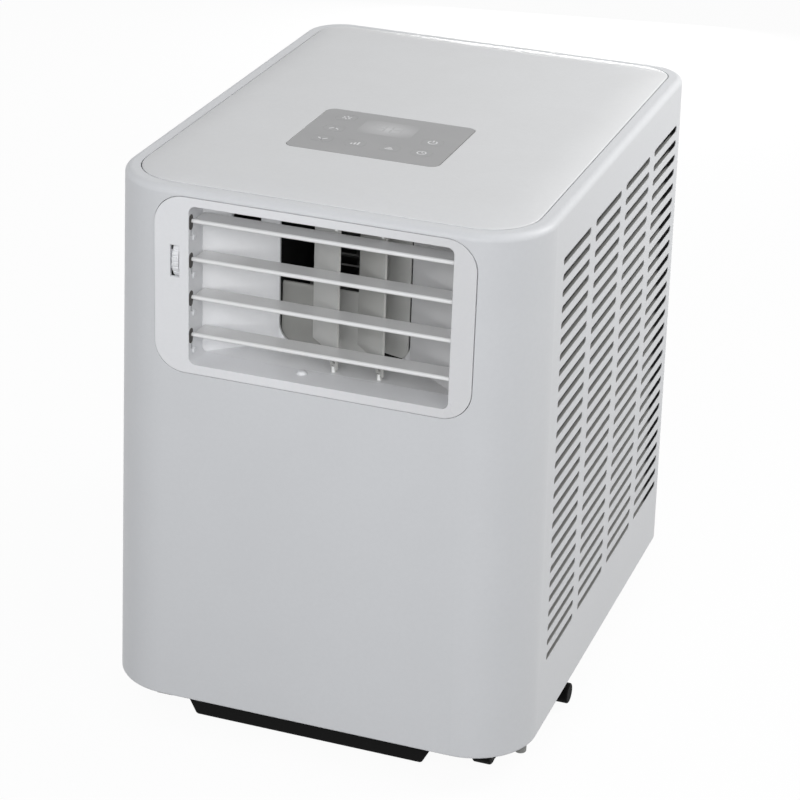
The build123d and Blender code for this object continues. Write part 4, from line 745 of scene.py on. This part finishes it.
def web_ring(bm, spot, grow, z):
    middle = (spot[0] * MM, spot[1] * MM)
    low = (middle[0] - KEY_HALF[0] - grow, middle[1] - KEY_HALF[1] - grow)
    high = (middle[0] + KEY_HALF[0] + grow, middle[1] + KEY_HALF[1] + grow)
    return rounded_ring(bm, low, high, KEY_CORNER + grow, KEY_CORNER + grow, z, WEB_SEGMENTS)


def build_webs():
    bm = bmesh.new()
    for spot in KEY_SPOTS_MM:
        bridge_rings(bm, [web_ring(bm, spot, grow, z) for grow, z in WEB])
    add_piece("key_webs", bm, PANEL_GREY, "cabinet")


# Unlit digits behind the display window, shown as thin bars on it
DIGIT_WIDTH_MM = 8.0
DIGIT_HEIGHT_MM = 15.0
DIGIT_SHIFT_MM = 6.6
STROKE_MM = 1.5


def build_digits():
    bm = bmesh.new()
    half_w, half_h = DIGIT_WIDTH_MM / 2, DIGIT_HEIGHT_MM / 2
    gap = STROKE_MM * 0.85
    for shift in (-DIGIT_SHIFT_MM, DIGIT_SHIFT_MM):
        for y in (-half_h, 0.0, half_h):
            flat_bar(bm, (shift - half_w + gap, y), (shift + half_w - gap, y), STROKE_MM)
        for x in (shift - half_w, shift + half_w):
            flat_bar(bm, (x, gap), (x, half_h - gap), STROKE_MM)
            flat_bar(bm, (x, gap - half_h), (x, -gap), STROKE_MM)
    bmesh.ops.scale(bm, verts=bm.verts, vec=(MM, MM, MM))
    bmesh.ops.translate(bm, verts=bm.verts, vec=(DISPLAY_MIDDLE[0], DISPLAY_MIDDLE[1], LID_TOP + INK_UP))
    thicken_ink(bm)
    add_piece("display_digits", bm, SEGMENT_GREY, "cabinet", smooth=False)


TURN_STEPS = 28


def turned_piece(bm, profile, centre, axis):
    """Spins a profile of (radius, distance along the axis) points, in millimetres, about an axis."""
    axis = Vector(axis).normalized()
    side = axis.orthogonal().normalized()
    points = [Vector(centre) + side * r * MM + axis * h * MM for r, h in profile]
    verts = [bm.verts.new(p) for p in points]
    edges = [bm.edges.new(pair) for pair in zip(verts, verts[1:])]
    bmesh.ops.spin(
        bm, geom=verts + edges, cent=centre, axis=axis, angle=2 * math.pi, steps=TURN_STEPS, use_merge=True
    )
    bmesh.ops.remove_doubles(bm, verts=bm.verts, dist=0.002 * MM)
    bmesh.ops.recalc_face_normals(bm, faces=bm.faces)


# Small locating nub on the floor of the outlet
NUB_MM = [(0.0, 2.1), (1.6, 2.05), (2.6, 1.7), (3.2, 1.1), (3.4, 0.4), (4.2, 0.05), (4.2, -0.4), (0.0, -0.4)]
NUB_PLACE = (-0.0125, -0.1945, 0.3015)


def build_nub():
    bm = bmesh.new()
    turned_piece(bm, NUB_MM, NUB_PLACE, (0, 0, 1))
    add_piece("outlet_nub", bm, VENT_WHITE, "cabinet")


# Fixed cheek at the right side of the throat, behind the vanes
CHEEK_START_MM = (49.2, -146.0)
CHEEK_END_MM = (24.0, -143.6)
CHEEK_THICKNESS_MM = 1.6
CHEEK_LOW = 0.3035
CHEEK_HIGH = 0.4185


def build_cheek():
    bm = bmesh.new()
    flat_bar(bm, CHEEK_START_MM, CHEEK_END_MM, CHEEK_THICKNESS_MM)
    bmesh.ops.scale(bm, verts=bm.verts, vec=(MM, MM, MM))
    bmesh.ops.translate(bm, verts=bm.verts, vec=(0, 0, CHEEK_LOW))
    grow_solid(bm, bm.faces[:], (0, 0, CHEEK_HIGH - CHEEK_LOW))
    add_piece("throat_cheek", bm, CHEEK_SHADE_GREY, "cabinet")


# Cut-off plate in the lower half of the throat, in two lengths: a shallow curve with a rolled top edge. Both lengths
# carry painted shade, the left a darker grey than the right.
CUTOFF_MM = [  # distance from the front, height
    (-147.2, 303.0), (-146.4, 310.0), (-145.6, 318.0), (-145.0, 327.0), (-144.6, 336.0), (-144.5, 344.0),
    (-144.3, 346.2), (-143.7, 347.4), (-142.8, 347.8), (-141.9, 347.2), (-141.6, 345.6), (-141.9, 336.0),
]
CUTOFF_LENGTHS_MM = [("left", -47.8, -8.0, CUTOFF_SHADE_GREY), ("right", -7.9, 27.0, CHEEK_SHADE_GREY)]
CUTOFF_THICKNESS = 0.8 * MM


def build_cutoff():
    for side, start, end, finish in CUTOFF_LENGTHS_MM:
        bm = bmesh.new()
        verts = [bm.verts.new((start * MM, y * MM, z * MM)) for y, z in CUTOFF_MM]
        edges = [bm.edges.new(pair) for pair in zip(verts, verts[1:])]
        sheet = bmesh.ops.extrude_edge_only(bm, edges=edges)
        far = [v for v in sheet["geom"] if isinstance(v, bmesh.types.BMVert)]
        bmesh.ops.translate(bm, verts=far, vec=((end - start) * MM, 0, 0))
        bmesh.ops.recalc_face_normals(bm, faces=bm.faces)
        bmesh.ops.solidify(bm, geom=bm.faces[:], thickness=CUTOFF_THICKNESS)
        bmesh.ops.recalc_face_normals(bm, faces=bm.faces)
        add_piece(f"cutoff_plate_{side}", bm, finish, "cabinet")


# Dark pads round the left pivots of the louvres, on the side of the outlet: painted shade where the pivot slots lie
# in shadow
OUTLET_LEFT = -0.092
PIVOT_HEIGHTS_MM = [407.9, 379.4, 350.9, 322.4]
SHADE_PAD_LOW_MM, SHADE_PAD_HIGH_MM = -2.6, 2.4
SHADE_PAD_WIDTH_MM = 6.2
SHADE_PAD_DEPTH = -0.2078  # where the pivots lie behind the front
SHADE_PAD_DROP_MM = 0.4
SHADE_PAD_SUNK = 0.2 * MM
SHADE_PAD_THICKNESS = 0.55 * MM
UPRIGHT = Matrix(((0, 0, 1, 0), (0, 1, 0, 0), (1, 0, 0, 0), (0, 0, 0, 1)))  # from the floor to the side


def build_pivot_shade_pads():
    bm = bmesh.new()
    for height in PIVOT_HEIGHTS_MM:
        fresh = flat_bar(bm, (SHADE_PAD_LOW_MM, 0.0), (SHADE_PAD_HIGH_MM, 0.0), SHADE_PAD_WIDTH_MM)
        place = (OUTLET_LEFT - SHADE_PAD_SUNK, SHADE_PAD_DEPTH, (height - SHADE_PAD_DROP_MM) * MM)
        bmesh.ops.transform(bm, matrix=UPRIGHT, verts=fresh)
        bmesh.ops.scale(bm, verts=fresh, vec=(MM, MM, MM))
        bmesh.ops.translate(bm, verts=fresh, vec=place)
    grow_solid(bm, bm.faces[:], (SHADE_PAD_THICKNESS, 0, 0))
    add_piece("louvre_pivot_shade_pads", bm, PIVOT_SHADE_GREY, "cabinet")


# Hub caps on both sides of each castor wheel
HUB_MM = [
    (0.0, 7.25), (1.2, 7.25), (2.2, 7.2), (4.6, 7.3), (6.2, 7.35), (6.8, 7.2), (7.0, 6.9), (7.0, 6.6), (0.0, 6.6),
]
WHEEL_SIDE = 0.1285
WHEEL_FRONT = -0.168
WHEEL_REAR = 0.152
AXLE_HEIGHT = 0.011


def build_hubs():
    for corner in CORNERS:
        x = -WHEEL_SIDE if corner.endswith("left") else WHEEL_SIDE
        y = WHEEL_FRONT if corner.startswith("front") else WHEEL_REAR
        bm = bmesh.new()
        for way in (1, -1):
            turned_piece(bm, HUB_MM, (x, y, AXLE_HEIGHT), (way, 0, 0))
        add_piece(f"hub_{corner}", bm, BLACK_PLASTIC, f"wheel_{corner}")


build_lid()
build_signs()
build_webs()
build_digits()
build_nub()
build_cheek()
build_cutoff()
build_pivot_shade_pads()
build_hubs()


# ---- camera, floor and light

CAMERA_AZIMUTH = math.radians(18.7605)
CAMERA_ELEVATION = math.radians(24.5829)
CAMERA_ROLL = math.radians(-2.0657)
CAMERA_DISTANCE = 2.08012
CAMERA_TARGET = Vector((-0.005028, 0.0, 0.200526))
CAMERA_LENS = 119.643

FLOOR_HALF = 7.0
FLOOR_DROP = 0.0003
FLOOR_BOUNCE = (0.28, 0.28, 0.28, 1.0)
FLOOR_SEEN = (0.95, 0.95, 0.95, 1.0)
FLOOR_VEIL = 0.95  # how far the seen floor fades to the white of the background
AMBIENT = 0.33
SOFTBOXES = [  # name, place, aim, size, power, colour
    ("key_right", (0.92, 0.5, 1.05), (0.0, 0.0, 0.3), 0.7, 9.1, (1.0, 0.995, 0.98)),
    ("fill_front", (0.10, -1.85, 1.0), (0.0, 0.0, 0.25), 1.0, 15.6, (0.985, 0.99, 1.0)),
    ("fill_corner", (1.5, -1.3, 1.0), (0.0, 0.0, 0.25), 0.8, 4.6, (1.0, 1.0, 1.0)),
    ("side_left", (-1.6, -0.2, 1.0), (0.0, 0.0, 0.25), 1.2, 2.5, (1.0, 1.0, 1.0)),
    ("fill_back", (-0.35, 1.75, 0.215), (0.0, 0.0, 0.215), 0.4, 7.5, (1.0, 1.0, 1.0)),
]


def build_camera():
    az, el, roll = CAMERA_AZIMUTH, CAMERA_ELEVATION, CAMERA_ROLL
    back = Vector((math.sin(az) * math.cos(el), -math.cos(az) * math.cos(el), math.sin(el)))
    level = Vector((math.cos(az), math.sin(az), 0.0))
    rise = back.cross(level)
    right = level * math.cos(roll) - rise * math.sin(roll)
    up = level * math.sin(roll) + rise * math.cos(roll)
    place = CAMERA_TARGET + back * CAMERA_DISTANCE
    data = bpy.data.cameras.new("camera")
    data.lens = CAMERA_LENS
    data.sensor_width = 36.0
    data.clip_start = 0.1
    data.clip_end = 60.0
    camera = bpy.data.objects.new("camera", data)
    bpy.context.scene.collection.objects.link(camera)
    camera.matrix_world = Matrix((
        (right.x, up.x, back.x, place.x),
        (right.y, up.y, back.y, place.y),
        (right.z, up.z, back.z, place.z),
        (0.0, 0.0, 0.0, 1.0),
    ))
    bpy.context.scene.camera = camera


def seen_rays(tree):
    """1 for rays that show the background: straight to the camera, in a reflection or through glass."""
    path = tree.nodes.new("ShaderNodeLightPath")
    seen = math_node(tree, "ADD", path.outputs["Is Camera Ray"], path.outputs["Is Glossy Ray"])
    return math_node(tree, "ADD", seen, path.outputs["Is Transmission Ray"], clamp=True)


def build_floor():
    bm = bmesh.new()
    bmesh.ops.create_grid(bm, x_segments=1, y_segments=1, size=FLOOR_HALF)
    bmesh.ops.translate(bm, verts=bm.verts, vec=(0, 0, -FLOOR_DROP))
    mesh = bpy.data.meshes.new("floor")
    bm.to_mesh(mesh)
    bm.free()
    floor = bpy.data.objects.new("floor", mesh)
    bpy.context.scene.collection.objects.link(floor)
    material, tree, shader = new_material("floor_white")
    seen = seen_rays(tree)
    tree.links.new(blend_colour(tree, seen, FLOOR_BOUNCE, FLOOR_SEEN), shader.inputs["Base Color"])
    shader.inputs["Roughness"].default_value = 0.9
    shader.inputs["Specular IOR Level"].default_value = 0.1
    glow = tree.nodes.new("ShaderNodeEmission")
    glow.inputs["Color"].default_value = (1.0, 1.0, 1.0, 1.0)
    glow.inputs["Strength"].default_value = 1.0
    veil = tree.nodes.new("ShaderNodeMixShader")
    tree.links.new(math_node(tree, "MULTIPLY", seen, FLOOR_VEIL), veil.inputs["Fac"])
    tree.links.new(shader.outputs["BSDF"], veil.inputs[1])
    tree.links.new(glow.outputs["Emission"], veil.inputs[2])
    tree.links.new(veil.outputs["Shader"], tree.nodes["Material Output"].inputs["Surface"])
    mesh.materials.append(material)


def build_world():
    world = bpy.data.worlds.new("studio")
    bpy.context.scene.world = world
    world.use_nodes = True
    tree = world.node_tree
    ambient = tree.nodes["Background"]
    ambient.inputs["Color"].default_value = (0.97, 0.985, 1.0, 1.0)
    ambient.inputs["Strength"].default_value = AMBIENT
    white = tree.nodes.new("ShaderNodeBackground")
    white.inputs["Color"].default_value = (1.0, 1.0, 1.0, 1.0)
    white.inputs["Strength"].default_value = 1.0
    mix = tree.nodes.new("ShaderNodeMixShader")
    tree.links.new(seen_rays(tree), mix.inputs["Fac"])
    tree.links.new(ambient.outputs["Background"], mix.inputs[1])
    tree.links.new(white.outputs["Background"], mix.inputs[2])
    tree.links.new(mix.outputs["Shader"], tree.nodes["World Output"].inputs["Surface"])


def add_softbox(name, place, aim, size, power, colour):
    data = bpy.data.lights.new(name, "AREA")
    data.shape = "SQUARE"
    data.size = size
    data.energy = power
    data.color = colour
    lamp = bpy.data.objects.new(name, data)
    bpy.context.scene.collection.objects.link(lamp)
    lamp.location = place
    lamp.rotation_mode = "QUATERNION"
    lamp.rotation_quaternion = (Vector(aim) - Vector(place)).to_track_quat("-Z", "Y")


build_camera()
build_floor()
build_world()
for softbox in SOFTBOXES:
    add_softbox(*softbox)

bpy.context.scene.view_settings.view_transform = "Standard"
